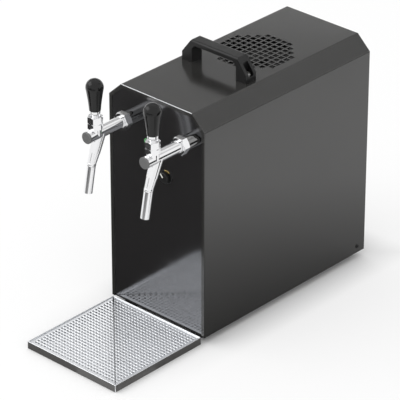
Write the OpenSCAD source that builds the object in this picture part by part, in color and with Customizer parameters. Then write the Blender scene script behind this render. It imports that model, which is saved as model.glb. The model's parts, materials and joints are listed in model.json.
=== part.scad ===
// Counter-top beer cooler with two taps: a bent sheet-metal cabinet on rubber feet,
// a black front panel with two chrome taps, a drip tray with a perforated grille,
// and the compressor cooling set inside. Millimetres, +Z up, taps towards -Y.
// The origin lies on the counter, under the middle of the whole length.

/* [Cabinet] */
// Width of the cover
cab_w = 210; // [190:1:260]
// Depth of the cover, front edge to back edge
cab_d = 405; // [395:1:460]
// Height of the cover, bottom edge to top
cab_h = 400; // [390:1:440]
// Height of the rubber feet
foot_h = 13; // [10:0.5:20]
// Thickness of the cover's sheet
sheet = 1.2; // [0.8:0.1:2]
// Width of the slope between wall and top
slope_w = 27; // [20:1:34]
// Height of the slope between wall and top
slope_h = 25; // [18:1:32]
// Return flange round the cover's open ends
flange = 7; // [5:0.5:9]
// Depth of the back panel in front of the cover's back edge
back_recess = 10; // [6:0.5:16]
// Thickness of the front and back panels
panel_t = 2; // [1.5:0.1:3]
// Thickness of the base pan's sheet
pan_t = 1.5; // [1.2:0.1:2]
// Height of the base pan's upturned edges
pan_lip = 25; // [20:1:32]

/* [Carry handle] */
// Length over the two legs
handle_len = 140; // [132:1:146]
// Height above the cover's top
handle_h = 40; // [36:0.5:48]
// Depth from front to back
handle_d = 24; // [20:0.5:30]
// Thickness of the grip bar
handle_bar = 9; // [7:0.5:12]
// Middle of the handle behind the cover's front edge
handle_y = 147.5; // [130:0.5:152]
// Distance between the two fixing screws
handle_pitch = 125; // [122:0.5:128]

/* [Fan and vent] */
// Middle of the fan behind the cover's front edge
fan_y = 235.5; // [230:0.5:250]
// Pitch of the square vent holes
vent_pitch = 11.7; // [10.5:0.1:12]
// Side of a vent hole
vent_hole = 8.6; // [6:0.1:9]
// Holes from the middle to the edge of the vent
vent_reach = 5; // [3:1:5]
// Side of the fan frame
fan_w = 119; // [115:1:120]
// Height of the fan frame
fan_h = 25; // [24:0.5:30]
// Radius of the blades
blade_r = 56; // [50:0.5:56]
// Number of blades
blades = 7; // [5:1:9]

/* [Taps] */
// Distance between the two taps
tap_pitch = 125; // [100:1:126]
// Axis of the right tap from the cover's right side
tap_edge = 20.75; // [20:0.25:45]
// Height of the tap's axis above the counter
tap_z = 372.5; // [368:0.5:376]
// Radius of the tap's barrel
barrel_r = 10; // [9.5:0.1:11]
// Radius of the bore in the barrel
barrel_bore = 7.5; // [7:0.1:8]
// Thickness of the barrel's front cap
cap_t = 3; // [2:0.5:5]
// Radius of the chrome sleeve between panel and coupling nut
sleeve_r = 12.3; // [11.5:0.1:13]
// Reach of the sleeve in front of the cover's front edge
sleeve_out = 27; // [24:0.5:30]
// Size of the coupling nut across its flats
coupling_af = 27.5; // [26:0.5:30]
// Size of the neck hexagon and bonnet nut across their flats
neck_af = 22; // [21:0.1:22.5]
// Middle of the lever's neck in front of the cover's front edge
neck_y = 96; // [93:0.5:99]
// Length of the black knob
knob_h = 55; // [48:0.5:64]
// Largest radius of the knob
knob_r = 14.6; // [12:0.1:16]
// Radius at the foot of the knob
knob_foot_r = 9.6; // [8:0.1:10.5]
// Angle by which the lever is pulled forward
lever_open = 25; // [15:1:25]
// Length of the lever's finger below its pivot
finger_len = 11.4; // [10:0.1:11.5]
// Lean of the outlet under the barrel
outlet_lean = 22; // [16:0.5:24]
// Lean of the spout below its bend
spout_lean = 11; // [5:0.5:12]
// Outer radius of the spout
spout_r = 7.2; // [6.5:0.1:8]
// Radius of the spout's bore
spout_bore = 5.5; // [4.5:0.1:5.8]
// Straight length of the spout below its bend
spout_len = 48; // [30:0.5:60]

/* [Controls] */
// Place of the thermostat to the right of the middle
thermo_x = 20; // [10:0.5:30]
// Height of the thermostat knob above the counter
thermo_z = 279.5; // [250:0.5:290]
// Radius of the thermostat knob
thermo_r = 10; // [9:0.5:14]
// Place of the pilot lamp to the left of the middle
lamp_x = 21.5; // [16:0.5:60]
// Height of the pilot lamp above the counter
lamp_z = 329; // [300:1:335]
// Radius of the pilot lamp's lens
lamp_r = 6; // [4.5:0.1:7]

/* [Drip tray] */
// Width of the tray
tray_w = 199; // [180:1:220]
// Depth of the tray, front to back
tray_d = 200.5; // [180:0.5:230]
// Height of the tray
tray_h = 13.5; // [12:0.5:18]
// Thickness of the tray's sheet
tray_t = 1.5; // [1:0.1:2]
// Gap between the tray and the cabinet
tray_gap = 2; // [1:0.1:4]
// Thickness of the grille's sheet
grille_t = 1; // [0.8:0.1:1.5]
// Depth of the grille below the tray's rim
grille_drop = 1.5; // [0.5:0.1:2.5]
// Pitch of the grille's square holes
grille_pitch = 9.3; // [8:0.1:12]
// Side of a grille hole
grille_hole = 6; // [3:0.1:7]
// Plain border round the grille's holes
grille_border = 4; // [3:0.5:10]

/* [Rear] */
// Radius of the beer inlet's pipe, for a 3/8 inch push fitting
inlet_r = 4.76; // [4:0.01:6.35]
// Reach of the inlets behind the back panel
inlet_out = 25; // [20:0.5:32]
// Distance between the two beer inlets
inlet_pitch = 90; // [70:1:110]
// Height of the beer inlets above the counter
inlet_z = 345; // [338:1:350]
// Height of the power inlet above the counter
power_z = 290; // [285:1:305]

/* [Cooling set] */
// Radius of the compressor's shell
shell_r = 60; // [50:0.5:62]
// Height of the compressor's shell
shell_h = 140; // [110:1:150]
// Height of the condenser's fin pack
cond_h = 168; // [138:6:180]
// Depth of the condenser's fin pack
cond_d = 36; // [30:1:40]
// Number of condenser fins
fins = 21; // [11:1:25]
// Wall of the insulation
insul_t = 20; // [15:0.5:30]

/* [Clearances] */
// Gap between sheet parts that slide into each other
fit_gap = 0.3; // [0.2:0.05:0.5]
// Gap round a screw or a pipe in its hole
hole_gap = 0.3; // [0.2:0.05:0.4]
// Running clearance of a shaft in its bore
run_gap = 0.05; // [0.02:0.01:0.1]
// Gap between parts that pass each other
pass_gap = 0.4; // [0.3:0.05:0.6]

/* [Hidden] */
$fn = 48;

cut = 1;                                  // how far a cutting shape runs past a face
left = -1;
right = 1;

// Levels and the shift that centres the whole length on the origin
base_z = foot_h;
top_z = foot_h + cab_h;
under_top = top_z - sheet;
floor_z = base_z + pan_t;
panel_y = sheet + fit_gap;
panel_back = panel_y + panel_t;
rear_y = cab_d - back_recess;
rear_in = rear_y - panel_t;
front_reach = tray_gap + tray_d;
rear_reach = rear_y + inlet_out;
cab_y = (front_reach - rear_reach) / 2;

// Screws and feet
screw_r = 2;
cover_screw_z = base_z + pan_lip / 2;
screw_len = 8;
screw_head_r = 3.6;
screw_head_t = 1.6;
screw_edge = 0.8;
screw_drive_r = 1.2;
screw_drive_h = 1;
cover_screw_in = 20;
cover_screw_y = cab_d - cover_screw_in;
foot_r = 13;
foot_taper = 2;
foot_edge = 1;
foot_in = 30;
foot_x = cab_w / 2 - foot_in;
foot_stem_r = 5;
foot_head_r = 7;
foot_head_h = 4;
back_screw_in = 26;
back_screw_x = cab_w / 2 - back_screw_in;
back_screw_z = floor_z + pan_lip / 2;

// Carry handle
handle_leg = 22;
handle_shoulder_x = 20;
handle_shoulder_z = 14;
handle_round = 4;
handle_floor = 9;
handle_screw_r = 3;
handle_head_r = 4.9;
handle_head_h = 5;
handle_nut_h = 5;
handle_nut_af = 10;
handle_chamfer = 0.6;
handle_screw_tip = 2;
handle_drive_h = 3;
handle_drive_r = 2.9;
handle_haunch = 6;
pocket_w = 12;

// Fan
fan_stud_in = 7;
fan_stud = fan_w / 2 - fan_stud_in;
fan_stud_r = 2;
fan_nut_h = 3.2;
fan_nut_af = 7;
fan_nut_chamfer = 0.4;
fan_round = 6;
fan_spoke = 6;
fan_low = under_top - fan_h;
hub_t = 3;
motor_r = 20;
motor_h = 12;
shaft_r = 2;
shaft_out = 6;
rotor_wall = 2.4;
rotor_top = 3;
blade_gap = 2;
fan_bore = blade_r + blade_gap;

// Taps: distances along the tap's axis, minus in front of the cover's front edge
nut_back = -sleeve_out;
nut_len = 12;
nut_lip = 3;
joint_y = nut_back - nut_len / 2;
barrel_tip = 18;
barrel_out = neck_y + barrel_tip;
shank_r = 9;
shank_bore = 5;
shank_thread_r = 11;
shank_tail = 30;
shank_end = panel_back + shank_tail;
locknut_h = 8;
seat_gap = 18;
seat_y = nut_back - nut_len - seat_gap;
seat_t = 3;
seat_bore = 4.6;
neck_bore = 9;
neck_rise = 0.5;
neck_h = 10;
bonnet_h = 11.5;
pivot_drop = 4;
neck_foot = tap_z + barrel_r + neck_rise;
neck_top = neck_foot + neck_h;
bonnet_top = neck_top + bonnet_h;
pivot_z = bonnet_top - pivot_drop;
nut_chamfer = 1;
cap_edge = 0.8;
cap_plug = 3;
ball_r = 7.2;
stem_r = 6;
pin_r = 1.2;
ferrule_r = 8.7;
ferrule_low = 8;
ferrule_h = 10;
knob_z = bonnet_top + ferrule_h;
knob_stud_r = 4;
knob_stud_h = 22;
finger_r = 1.3;
finger_ball = 1.8;
outlet_back = 10;
outlet_root = neck_y - outlet_back;
outlet_r = 10.3;
outlet_end_r = 9;
outlet_len = 34;
spout_cone = 20;
spout_step = 0.4;
spout_bead = 0.4;

// Piston in the barrel, with the fork that the lever's finger moves
piston_rod_r = 3;
piston_land_len = 6;
piston_land_in = 5.5;
piston_land_y = piston_land_in - barrel_out;
piston_head_r = 6.6;
piston_head_t = 4;
fork_wall = 1.3;
fork_half = finger_ball + pass_gap + fork_wall;
fork_w = 4.4;
fork_rise = 1.6;
fork_depth = 4;
fork_slot = 20;
fork_top = pivot_z - finger_len + fork_rise;
fork_floor = pivot_z - tap_z - finger_len - fork_depth;

// Cooling set
grommet_r = 9;
grommet_h = 15.5;
plate_t = 3;
plate_z = floor_z + grommet_h;
shell_z = plate_z + plate_t;
mount_x = 62;
mount_y = 42;
bolt_r = 3;
bolt_tip = 3;
bolt_af = 10;
bolt_head_h = 5;
washer_r = 7;
washer_t = 1.5;
grommet_waist = 7;
grommet_groove = 2;
plate_round = 8;
seam_h = 6;
seam_out = 3;
relay_w = 30;
relay_d = 48;
relay_h = 44;
relay_sunk = 9;
relay_lift = 14;
plate_edge = 12;
cond_gap = 6;
cond_side = 30;
cond_low = 50;
cond_w = cab_w - 2 * cond_side;
cond_y = rear_in - cond_d - cond_gap;
cond_z = floor_z + cond_low;
shell_gap = 23;
shell_y = cond_y - shell_gap - seam_out - shell_r;
foot_back_gap = 18;
foot_back = cond_y - foot_back_gap;
cond_mid = cond_y + cond_d / 2;
cond_tube_r = 4.8;
cond_bore = 4;
fin_t = 0.8;
passes = 6;
pass_step = cond_h / passes;
turn_gap = 0.5;
tube_end = 1;
cond_plate = 1.5;
cond_end = cond_w / 2 + cond_plate;
insul_side = 17;
insul_front = 22;
insul_back = 28.5;
insul_rise = 30.5;
insul_w = cab_w - 2 * insul_side;
insul_y = panel_back + insul_front;
insul_d = shell_y - shell_r - seam_out - insul_back - insul_y;
insul_z = floor_z;
insul_top = inlet_z - insul_rise;
insul_h = insul_top - insul_z;
foot_front = insul_y - foot_head_r - cut;
block_w = insul_w - 2 * insul_t;
block_d = insul_d - 2 * insul_t;
block_mid = insul_y + insul_d / 2;
stub_h = 6;
stub_top = insul_top + stub_h;
pipe_r = 4;
pipe_bore = 2.8;
pipe_bend = 12;
gas_r = 3;
gas_bore = 2.2;
gas_bend = 8;
cap_r = 1.2;
cap_bore = 0.5;
cap_bend = 6;
beer_in_y = block_mid + 0.25 * block_d;
beer_out_y = block_mid - 0.2 * block_d;
outlet_jog = 40;
gas_x = 20;
gas_y = block_mid + 0.35 * block_d;
gas_out = 14;
drier_r = 9;
drier_len = 70;
drier_neck = 0.6;
drier_cone = 15;
drier_rise = 20;
gas_side = cond_end + gas_out;
gas_rise = 16;
cap_rise = 14;
drier_y = cond_y - gas_out;
drier_z = cond_z + pass_step / 2 + drier_rise;
shell_stub = 6;
stub_wall = 2;
shell_stub_z = shell_z + shell_h + shell_stub;

// Controls
bush_r = 4.8;
bush_out = 2;
spindle_r = 3;
knob_gap = 0.5;
bezel_t = 1;
bezel_rim = 2;
bezel_r = thermo_r + bezel_rim;
thermo_len = 6;
thermo_w = 44;
thermo_h = 34;
knob_edge = 1;
knob_floor = 2;
flutes = 18;
flute_r = 1.2;
pointer_w = 1.6;
pointer_t = 0.6;
pointer_turn = -42;
lamp_rim = 1;
lamp_out = 3.5;
lamp_tail = 16;

// Beer inlets
inlet_thread = 1.7;
inlet_thread_r = inlet_r + inlet_thread;
inlet_tail = 10;
inlet_nut_h = 6;
inlet_af = 19;

// Power inlet, with the usual sizes of an appliance socket
socket_w = 27;
socket_h = 20;
socket_in = 25;
socket_flange = [50, 3, 26];
recess_w = 24;
recess_h = 16.5;
recess_d = 17;
blade_pin = [2, 12, 4];
pin_step = 7;
pin_drop = 2;
socket_screw_x = 20;
socket_screw_r = 1.7;

// Drip tray
tray_y = -tray_gap - tray_d;
grille_w = tray_w - 2 * tray_t - 2 * fit_gap;
grille_d = tray_d - 2 * tray_t - 2 * fit_gap;
grille_top = tray_h - grille_drop;
grille_count_x = floor((grille_w - 2 * grille_border) / grille_pitch);
grille_count_y = floor((grille_d - 2 * grille_border) / grille_pitch);

// Shapes shared by several pieces

module in_cabinet() {
    translate([0, cab_y, 0]) children();
}

module on_both_sides() {
    children();
    mirror([1, 0, 0]) children();
}

// Extrudes an outline drawn in X and Z along Y
module along_y(y, len) {
    translate([0, y + len, 0])
        rotate([90, 0, 0])
            linear_extrude(len) children();
}

// Turns an outline of radius and Y about the Y axis
module lathe_y(points) {
    rotate([-90, 0, 0])
        rotate_extrude() polygon(points);
}

function tap_x(side) = cab_w / 2 - tap_edge - (side == left ? tap_pitch : 0);

module tap_axis(side) {
    translate([tap_x(side), 0, tap_z]) children();
}

module rod_y(y, len, r) {
    translate([0, y, 0]) rotate([-90, 0, 0]) cylinder(h = len, r = r);
}

// Hexagon bar along Y with the turned corners of a nut
module hex_y(y, len, af, chamfer) {
    corner = af / sqrt(3);
    intersection() {
        translate([0, y, 0])
            rotate([-90, 0, 0]) cylinder(h = len, r = corner, $fn = 6);
        lathe_y([[0, y], [af / 2, y], [corner, y + chamfer], [corner, y + len - chamfer],
                 [af / 2, y + len], [0, y + len]]);
    }
}

// The same along Z, flats facing front and back
module hex_z(z, len, af, chamfer) {
    corner = af / sqrt(3);
    intersection() {
        translate([0, 0, z]) cylinder(h = len, r = corner, $fn = 6);
        rotate_extrude()
            polygon([[0, z], [af / 2, z], [corner, z + chamfer], [corner, z + len - chamfer],
                     [af / 2, z + len], [0, z + len]]);
    }
}

module rounded_square(w, d, r) {
    square([w - 2 * r, d], center = true);
    square([w, d - 2 * r], center = true);
    for (x = [-1, 1], y = [-1, 1])
        translate([x * (w / 2 - r), y * (d / 2 - r)]) circle(r);
}

// Outline of the cover's cross-section, moved inwards by t
function hood(t, low) = let (
    angle = atan(slope_h / slope_w),
    half = cab_w / 2,
    wall = half - t,
    shoulder = top_z - slope_h - t * tan((90 - angle) / 2),
    edge = half - slope_w - t * tan(angle / 2)
) [[-wall, low], [-wall, shoulder], [-edge, top_z - t],
   [edge, top_z - t], [wall, shoulder], [wall, low]];

// Pipe through square corners: straight lengths joined by round elbows
function unit(v) = v / norm(v);
function side_of(d) = abs(d[2]) > 0.5 ? [1, 0, 0] : cross(d, [0, 0, 1]);

module set_on(x, y, z, at) {
    multmatrix([[x[0], y[0], z[0], at[0]],
                [x[1], y[1], z[1], at[1]],
                [x[2], y[2], z[2], at[2]]]) children();
}

module pipe(points, r, bore, bend) {
    last = len(points) - 1;
    for (i = [0 : last - 1]) {
        d = unit(points[i + 1] - points[i]);
        start = points[i] + (i > 0 ? bend * d : [0, 0, 0]);
        end = points[i + 1] - (i < last - 1 ? bend * d : [0, 0, 0]);
        u = side_of(d);
        set_on(u, cross(d, u), d, start)
            linear_extrude(norm(end - start)) ring(r, bore);
    }
    for (i = [1 : 1 : last - 1]) {
        before = unit(points[i] - points[i - 1]);
        after = unit(points[i + 1] - points[i]);
        set_on(-after, before, cross(before, after), points[i] - bend * before + bend * after)
            rotate_extrude(angle = 90) translate([bend, 0]) ring(r, bore);
    }
}

module ring(r, bore) {
    difference() {
        circle(r);
        circle(bore);
    }
}

// Cabinet

module cover() {
    color([0.30, 0.30, 0.29])
    in_cabinet() difference() {
        union() {
            along_y(0, cab_d) difference() {
                polygon(hood(0, base_z));
                polygon(hood(sheet, base_z - cut));
            }
            for (y = [0, cab_d - sheet])
                along_y(y, sheet) difference() {
                    polygon(hood(0, base_z));
                    polygon(hood(flange, base_z - cut));
                }
            for (x = [-1, 1], y = [-1, 1])
                translate([x * fan_stud, fan_y + y * fan_stud, fan_low - 2 * fan_nut_h])
                    cylinder(h = under_top - fan_low + 2 * fan_nut_h + sheet / 2, r = fan_stud_r);
        }
        vent_holes();
        for (x = [-1, 1])
            translate([x * handle_pitch / 2, handle_y, under_top - cut])
                cylinder(h = sheet + 2 * cut, r = handle_screw_r + hole_gap);
        cover_screw_holes();
    }
}

// Square holes in an octagon, one for each crossing of the grid inside it
module vent_holes() {
    for (i = [-vent_reach : vent_reach], j = [-vent_reach : vent_reach])
        if (abs(i) + abs(j) <= vent_reach + 2)
            translate([i * vent_pitch, fan_y + j * vent_pitch, top_z - sheet / 2])
                cube([vent_hole, vent_hole, sheet + 2 * cut], center = true);
}

module cover_screw_holes() {
    translate([0, cover_screw_y, cover_screw_z])
        rotate([0, 90, 0])
            cylinder(h = cab_w + 2 * cut, r = screw_r + hole_gap, center = true);
}

module base_pan() {
    half = cab_w / 2 - sheet - fit_gap;
    front = sheet + fit_gap;
    back = cab_d - sheet - fit_gap;
    color([0.20, 0.20, 0.20])
    in_cabinet() difference() {
        union() {
            translate([-half, front, base_z])
                cube([2 * half, back - front, pan_t]);
            on_both_sides()
                translate([half - pan_t, panel_back + fit_gap, base_z])
                    cube([pan_t, rear_in - panel_back - 2 * fit_gap, pan_lip]);
            for (y = [panel_back, rear_in - pan_t])
                translate([-half + 2 * pan_t, y, base_z])
                    cube([2 * half - 4 * pan_t, pan_t, pan_lip]);
        }
        for (x = [-1, 1], y = [foot_front, foot_back])
            translate([x * foot_x, y, base_z - cut])
                cylinder(h = pan_t + 2 * cut, r = foot_stem_r + hole_gap);
        for (x = [-1, 1], y = [-1, 1])
            translate([x * mount_x, shell_y + y * mount_y, base_z - cut])
                cylinder(h = pan_t + 2 * cut, r = bolt_r + hole_gap);
        cover_screw_holes();
        back_screw_holes();
    }
}

module back_screw_holes() {
    for (x = [-1, 1])
        translate([x * back_screw_x, 0, back_screw_z])
            rod_y(rear_in - pan_t - cut, panel_t + pan_t + 2 * cut, screw_r + hole_gap);
}

module panel_outline() {
    polygon(hood(sheet + fit_gap, floor_z));
}

module front_panel() {
    color([0.09, 0.09, 0.09])
    in_cabinet() difference() {
        along_y(panel_y, panel_t) panel_outline();
        for (side = [left, right])
            tap_axis(side) rod_y(panel_y - cut, panel_t + 2 * cut, shank_r + hole_gap);
        translate([thermo_x, 0, thermo_z])
            rod_y(panel_y - cut, panel_t + 2 * cut, bush_r + hole_gap);
        translate([-lamp_x, 0, lamp_z])
            rod_y(panel_y - cut, panel_t + 2 * cut, lamp_r - lamp_rim + hole_gap);
    }
}

module back_panel() {
    slot_gap = 12;
    slot_w = cond_w / 2 - slot_gap;
    slot_h = 4;
    slot_pitch = 10;
    slots = floor(cond_h / slot_pitch);
    color([0.22, 0.22, 0.22])
    in_cabinet() difference() {
        along_y(rear_in, panel_t) difference() {
            panel_outline();
            for (x = [-1, 1], i = [0 : slots - 1])
                translate([x * cond_w / 4, cond_z + (i + 0.5) * slot_pitch])
                    square([slot_w, slot_h], center = true);
            translate([0, power_z])
                square([socket_w + 2 * fit_gap, socket_h + 2 * fit_gap], center = true);
        }
        for (x = [-1, 1])
            translate([x * inlet_pitch / 2, 0, inlet_z])
                rod_y(rear_in - cut, panel_t + 2 * cut, inlet_thread_r + hole_gap);
        back_screw_holes();
    }
}

// Push-in foot: a tapered pad, a stem through the pan and a head that holds it
module rubber_feet() {
    color([0.08, 0.08, 0.08])
    in_cabinet()
        for (x = [-1, 1], y = [foot_front, foot_back])
            translate([x * foot_x, y, 0])
                rotate_extrude()
                    polygon([[0, 0], [foot_r - foot_edge, 0], [foot_r, foot_edge],
                             [foot_r - foot_taper, base_z], [foot_stem_r, base_z],
                             [foot_stem_r, floor_z], [foot_head_r, floor_z],
                             [foot_stem_r - foot_edge, floor_z + foot_head_h],
                             [0, floor_z + foot_head_h]]);
}

// Pan-head screws through the cover's walls into the base pan
module cover_screws() {
    color([0.12, 0.12, 0.12])
    in_cabinet() on_both_sides()
        translate([cab_w / 2, cover_screw_y, cover_screw_z])
            rotate([0, 90, 0]) pan_screw();
}

// Screw with its head's underside at the origin, pointing down, with a six-sided drive
module pan_screw() {
    difference() {
        rotate_extrude()
            polygon([[0, -screw_len], [screw_r, -screw_len], [screw_r, 0], [screw_head_r, 0],
                     [screw_head_r - screw_edge, screw_head_t], [0, screw_head_t]]);
        translate([0, 0, screw_head_t - screw_drive_h])
            cylinder(h = screw_drive_h + cut, r = screw_drive_r, $fn = 6);
    }
}

module back_screws() {
    color([0.70, 0.70, 0.70])
    in_cabinet()
        for (x = [-1, 1])
            translate([x * back_screw_x, rear_y, back_screw_z])
                rotate([-90, 0, 0]) pan_screw();
}

// Bridge handle: an arch with sloping shoulders, rounded along its edges,
// and a pocket in each shoulder for its screw
module carry_handle() {
    half = handle_len / 2;
    inner = half - handle_leg;
    gap = handle_h - handle_bar;
    color([0.10, 0.10, 0.10])
    in_cabinet() translate([0, handle_y, top_z]) difference() {
        intersection() {
            along_y(-handle_d / 2, handle_d) difference() {
                polygon([[-half, 0], [-half, handle_shoulder_z],
                         [handle_shoulder_x - half, handle_h],
                         [half - handle_shoulder_x, handle_h],
                         [half, handle_shoulder_z], [half, 0]]);
                polygon([[-inner, -cut], [-inner, gap - handle_haunch],
                         [handle_haunch - inner, gap], [inner - handle_haunch, gap],
                         [inner, gap - handle_haunch], [inner, -cut]]);
            }
            rotate([90, 0, 90])
                linear_extrude(handle_len + 2 * cut, center = true) {
                    rounded_square(handle_d, 2 * handle_h, handle_round);
                }
        }
        for (x = [-1, 1])
            translate([x * handle_pitch / 2, 0, 0]) {
                translate([-pocket_w / 2, -pocket_w / 2, handle_floor])
                    cube([pocket_w, pocket_w, handle_h]);
                translate([x * pocket_w / 2, 0, handle_floor + handle_h / 2])
                    cube([pocket_w, pocket_w, handle_h], center = true);
                translate([0, 0, -cut])
                    cylinder(h = handle_floor + 2 * cut, r = handle_screw_r + hole_gap);
            }
    }
}

// Socket screws of the handle, each with its nut under the cover's top
module handle_screws() {
    color([0.75, 0.75, 0.75])
    in_cabinet()
        for (x = [-1, 1])
            translate([x * handle_pitch / 2, handle_y, 0]) {
                seat = top_z + handle_floor;
                tip = under_top - handle_nut_h - handle_screw_tip;
                difference() {
                    union() {
                        translate([0, 0, seat]) cylinder(h = handle_head_h, r = handle_head_r);
                        translate([0, 0, tip])
                            cylinder(h = seat - tip + cut, r = handle_screw_r);
                    }
                    translate([0, 0, seat + handle_head_h - handle_drive_h])
                        cylinder(h = handle_drive_h + cut, r = handle_drive_r, $fn = 6);
                }
                difference() {
                    hex_z(under_top - handle_nut_h, handle_nut_h, handle_nut_af, handle_chamfer);
                    translate([0, 0, under_top - handle_nut_h - cut])
                        cylinder(h = handle_nut_h + 2 * cut, r = handle_screw_r + run_gap);
                }
            }
}

// Fan

module fan_frame() {
    color([0.07, 0.07, 0.07])
    in_cabinet() translate([0, fan_y, fan_low]) {
        linear_extrude(fan_h) difference() {
            rounded_square(fan_w, fan_w, fan_round);
            circle(fan_bore);
            for (x = [-1, 1], y = [-1, 1])
                translate([x * fan_stud, y * fan_stud]) circle(fan_stud_r + hole_gap);
        }
        cylinder(h = hub_t, r = motor_r + rotor_wall);
        for (a = [45 : 90 : 315])
            rotate([0, 0, a])
                translate([motor_r, -fan_spoke / 2, 0])
                    cube([fan_bore - motor_r + cut, fan_spoke, hub_t]);
    }
}

module fan_motor() {
    color([0.45, 0.45, 0.47])
    in_cabinet() translate([0, fan_y, fan_low + hub_t]) {
        cylinder(h = motor_h, r = motor_r);
        cylinder(h = motor_h + shaft_out, r = shaft_r);
    }
}

// Hub cup over the motor with cambered blades round it
module fan_rotor() {
    low = hub_t + pass_gap * 3;
    high = hub_t + motor_h + pass_gap * 3;
    hub_r = motor_r + pass_gap + rotor_wall;
    color([0.13, 0.13, 0.13])
    in_cabinet() translate([0, fan_y, fan_low]) difference() {
        union() {
            translate([0, 0, low]) cylinder(h = high - low + rotor_top, r = hub_r);
            for (i = [0 : blades - 1])
                rotate([0, 0, i * 360 / blades]) fan_blade(hub_r, low, high + rotor_top);
        }
        translate([0, 0, low - cut]) cylinder(h = high - low + cut, r = motor_r + pass_gap);
        translate([0, 0, low - cut])
            cylinder(h = high - low + rotor_top + 2 * cut, r = shaft_r + run_gap);
    }
}

// One blade: a curved plate set at an angle, cut to the fan's circle
module fan_blade(hub_r, low, high) {
    camber_r = 40;
    blade_t = 1.6;
    pitch_angle = 38;
    chord = 12;
    mid = (low + high) / 2;
    intersection() {
        translate([0, 0, low])
            linear_extrude(high - low) ring(blade_r, hub_r - 1);
        translate([0, 0, mid])
            rotate([pitch_angle, 0, 0])
                translate([0, 0, -camber_r])
                    rotate([0, 90, 0])
                        linear_extrude(blade_r) intersection() {
                            ring(camber_r + blade_t / 2, camber_r - blade_t / 2);
                            translate([-camber_r, 0]) square(2 * chord, center = true);
                        }
    }
}

module fan_nuts() {
    color([0.75, 0.75, 0.75])
    in_cabinet()
        for (x = [-1, 1], y = [-1, 1])
            translate([x * fan_stud, fan_y + y * fan_stud, 0]) difference() {
                hex_z(fan_low - fan_nut_h, fan_nut_h, fan_nut_af, fan_nut_chamfer);
                translate([0, 0, fan_low - fan_nut_h - cut])
                    cylinder(h = fan_nut_h + 2 * cut, r = fan_stud_r + run_gap);
            }
}

// Cooling set

// Fins on the condenser's tube, between two end plates that stand on the pan
module condenser_fins() {
    step = cond_w / (fins + 1);
    color([0.62, 0.62, 0.60])
    in_cabinet() {
        for (i = [1 : fins])
            translate([-cond_w / 2 + i * step, 0, 0])
                fin(fin_t, cond_y + cond_d, cond_z);
        for (x = [-1, 1])
            translate([x * (cond_w + cond_plate) / 2, 0, 0])
                fin(cond_plate, rear_in - pan_t, floor_z);
    }
}

// Upright plate across the tube's passes, from the pack's front to a given back and foot
module fin(t, back, foot) {
    rotate([90, 0, 90])
        linear_extrude(t, center = true) difference() {
            translate([cond_y, foot]) square([back - cond_y, cond_z + cond_h - foot]);
            for (i = [0 : passes - 1])
                translate([cond_mid, pass_z(i)]) circle(cond_tube_r + run_gap);
        }
}

// Tube that runs to and fro through the fins, from the upper right to the lower right
module condenser_tube() {
    turn = cond_end + pass_step / 2;
    color([0.72, 0.45, 0.30])
    in_cabinet()
        pipe(concat([[cond_end + tube_end, cond_mid, pass_z(passes - 1)]],
                    [for (i = [passes - 2 : -1 : 0], level = [i + 1, i])
                        [(i % 2 == 0 ? -1 : 1) * turn, cond_mid, pass_z(level)]],
                    [[cond_end + tube_end, cond_mid, pass_z(0)]]),
             cond_tube_r, cond_bore, pass_step / 2 - turn_gap);
}

function pass_z(i) = cond_z + (i + 0.5) * pass_step;

// Hermetic shell with its weld seam on a foot plate
module compressor() {
    dome = 30;
    low_round = 14;
    color([0.06, 0.06, 0.06])
    in_cabinet() translate([0, shell_y, 0]) {
        translate([0, 0, shell_z])
            rotate_extrude() {
                square([shell_r - low_round, shell_h]);
                translate([0, low_round]) square([shell_r, shell_h - dome - low_round]);
                translate([shell_r - low_round, low_round]) circle(low_round);
                square([shell_r - dome, shell_h]);
                translate([shell_r - dome, shell_h - dome]) circle(dome);
            }
        translate([0, 0, shell_z + shell_h / 2])
            cylinder(h = seam_h, r = shell_r + seam_out);
        translate([0, 0, plate_z]) linear_extrude(plate_t + 1) difference() {
            rounded_square(2 * (mount_x + plate_edge), 2 * (mount_y + plate_edge), plate_round);
            for (x = [-1, 1], y = [-1, 1])
                translate([x * mount_x, y * mount_y]) circle(bolt_r + hole_gap);
        }
        translate([0, 0, shell_z + shell_h - cut])
            cylinder(h = shell_stub + cut, r = gas_r + stub_wall);
    }
}

module compressor_grommets() {
    color([0.10, 0.10, 0.10])
    in_cabinet()
        for (x = [-1, 1], y = [-1, 1])
            translate([x * mount_x, shell_y + y * mount_y, floor_z])
                rotate_extrude()
                    polygon([[bolt_r + hole_gap, 0], [grommet_r, 0],
                             [grommet_r, grommet_waist - grommet_groove],
                             [grommet_r - grommet_groove, grommet_waist],
                             [grommet_r, grommet_waist + grommet_groove],
                             [grommet_r, grommet_h], [bolt_r + hole_gap, grommet_h]]);
}

module compressor_bolts() {
    top = plate_z + plate_t + cut;
    color([0.70, 0.70, 0.70])
    in_cabinet()
        for (x = [-1, 1], y = [-1, 1])
            translate([x * mount_x, shell_y + y * mount_y, 0]) {
                translate([0, 0, base_z - bolt_tip])
                    cylinder(h = top - base_z + bolt_tip + washer_t, r = bolt_r);
                translate([0, 0, top]) cylinder(h = washer_t, r = washer_r);
                hex_z(top + washer_t / 2, bolt_head_h, bolt_af, nut_chamfer);
            }
}

// Relay and overload cover, clipped to the shell's side
module terminal_box() {
    color([0.14, 0.14, 0.14])
    in_cabinet() difference() {
        translate([relay_sunk - shell_r - relay_w, shell_y - relay_d / 2, shell_z + relay_lift])
            cube([relay_w, relay_d, relay_h]);
        translate([0, shell_y, shell_z])
            cylinder(h = shell_h, r = shell_r + fit_gap);
    }
}

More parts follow.
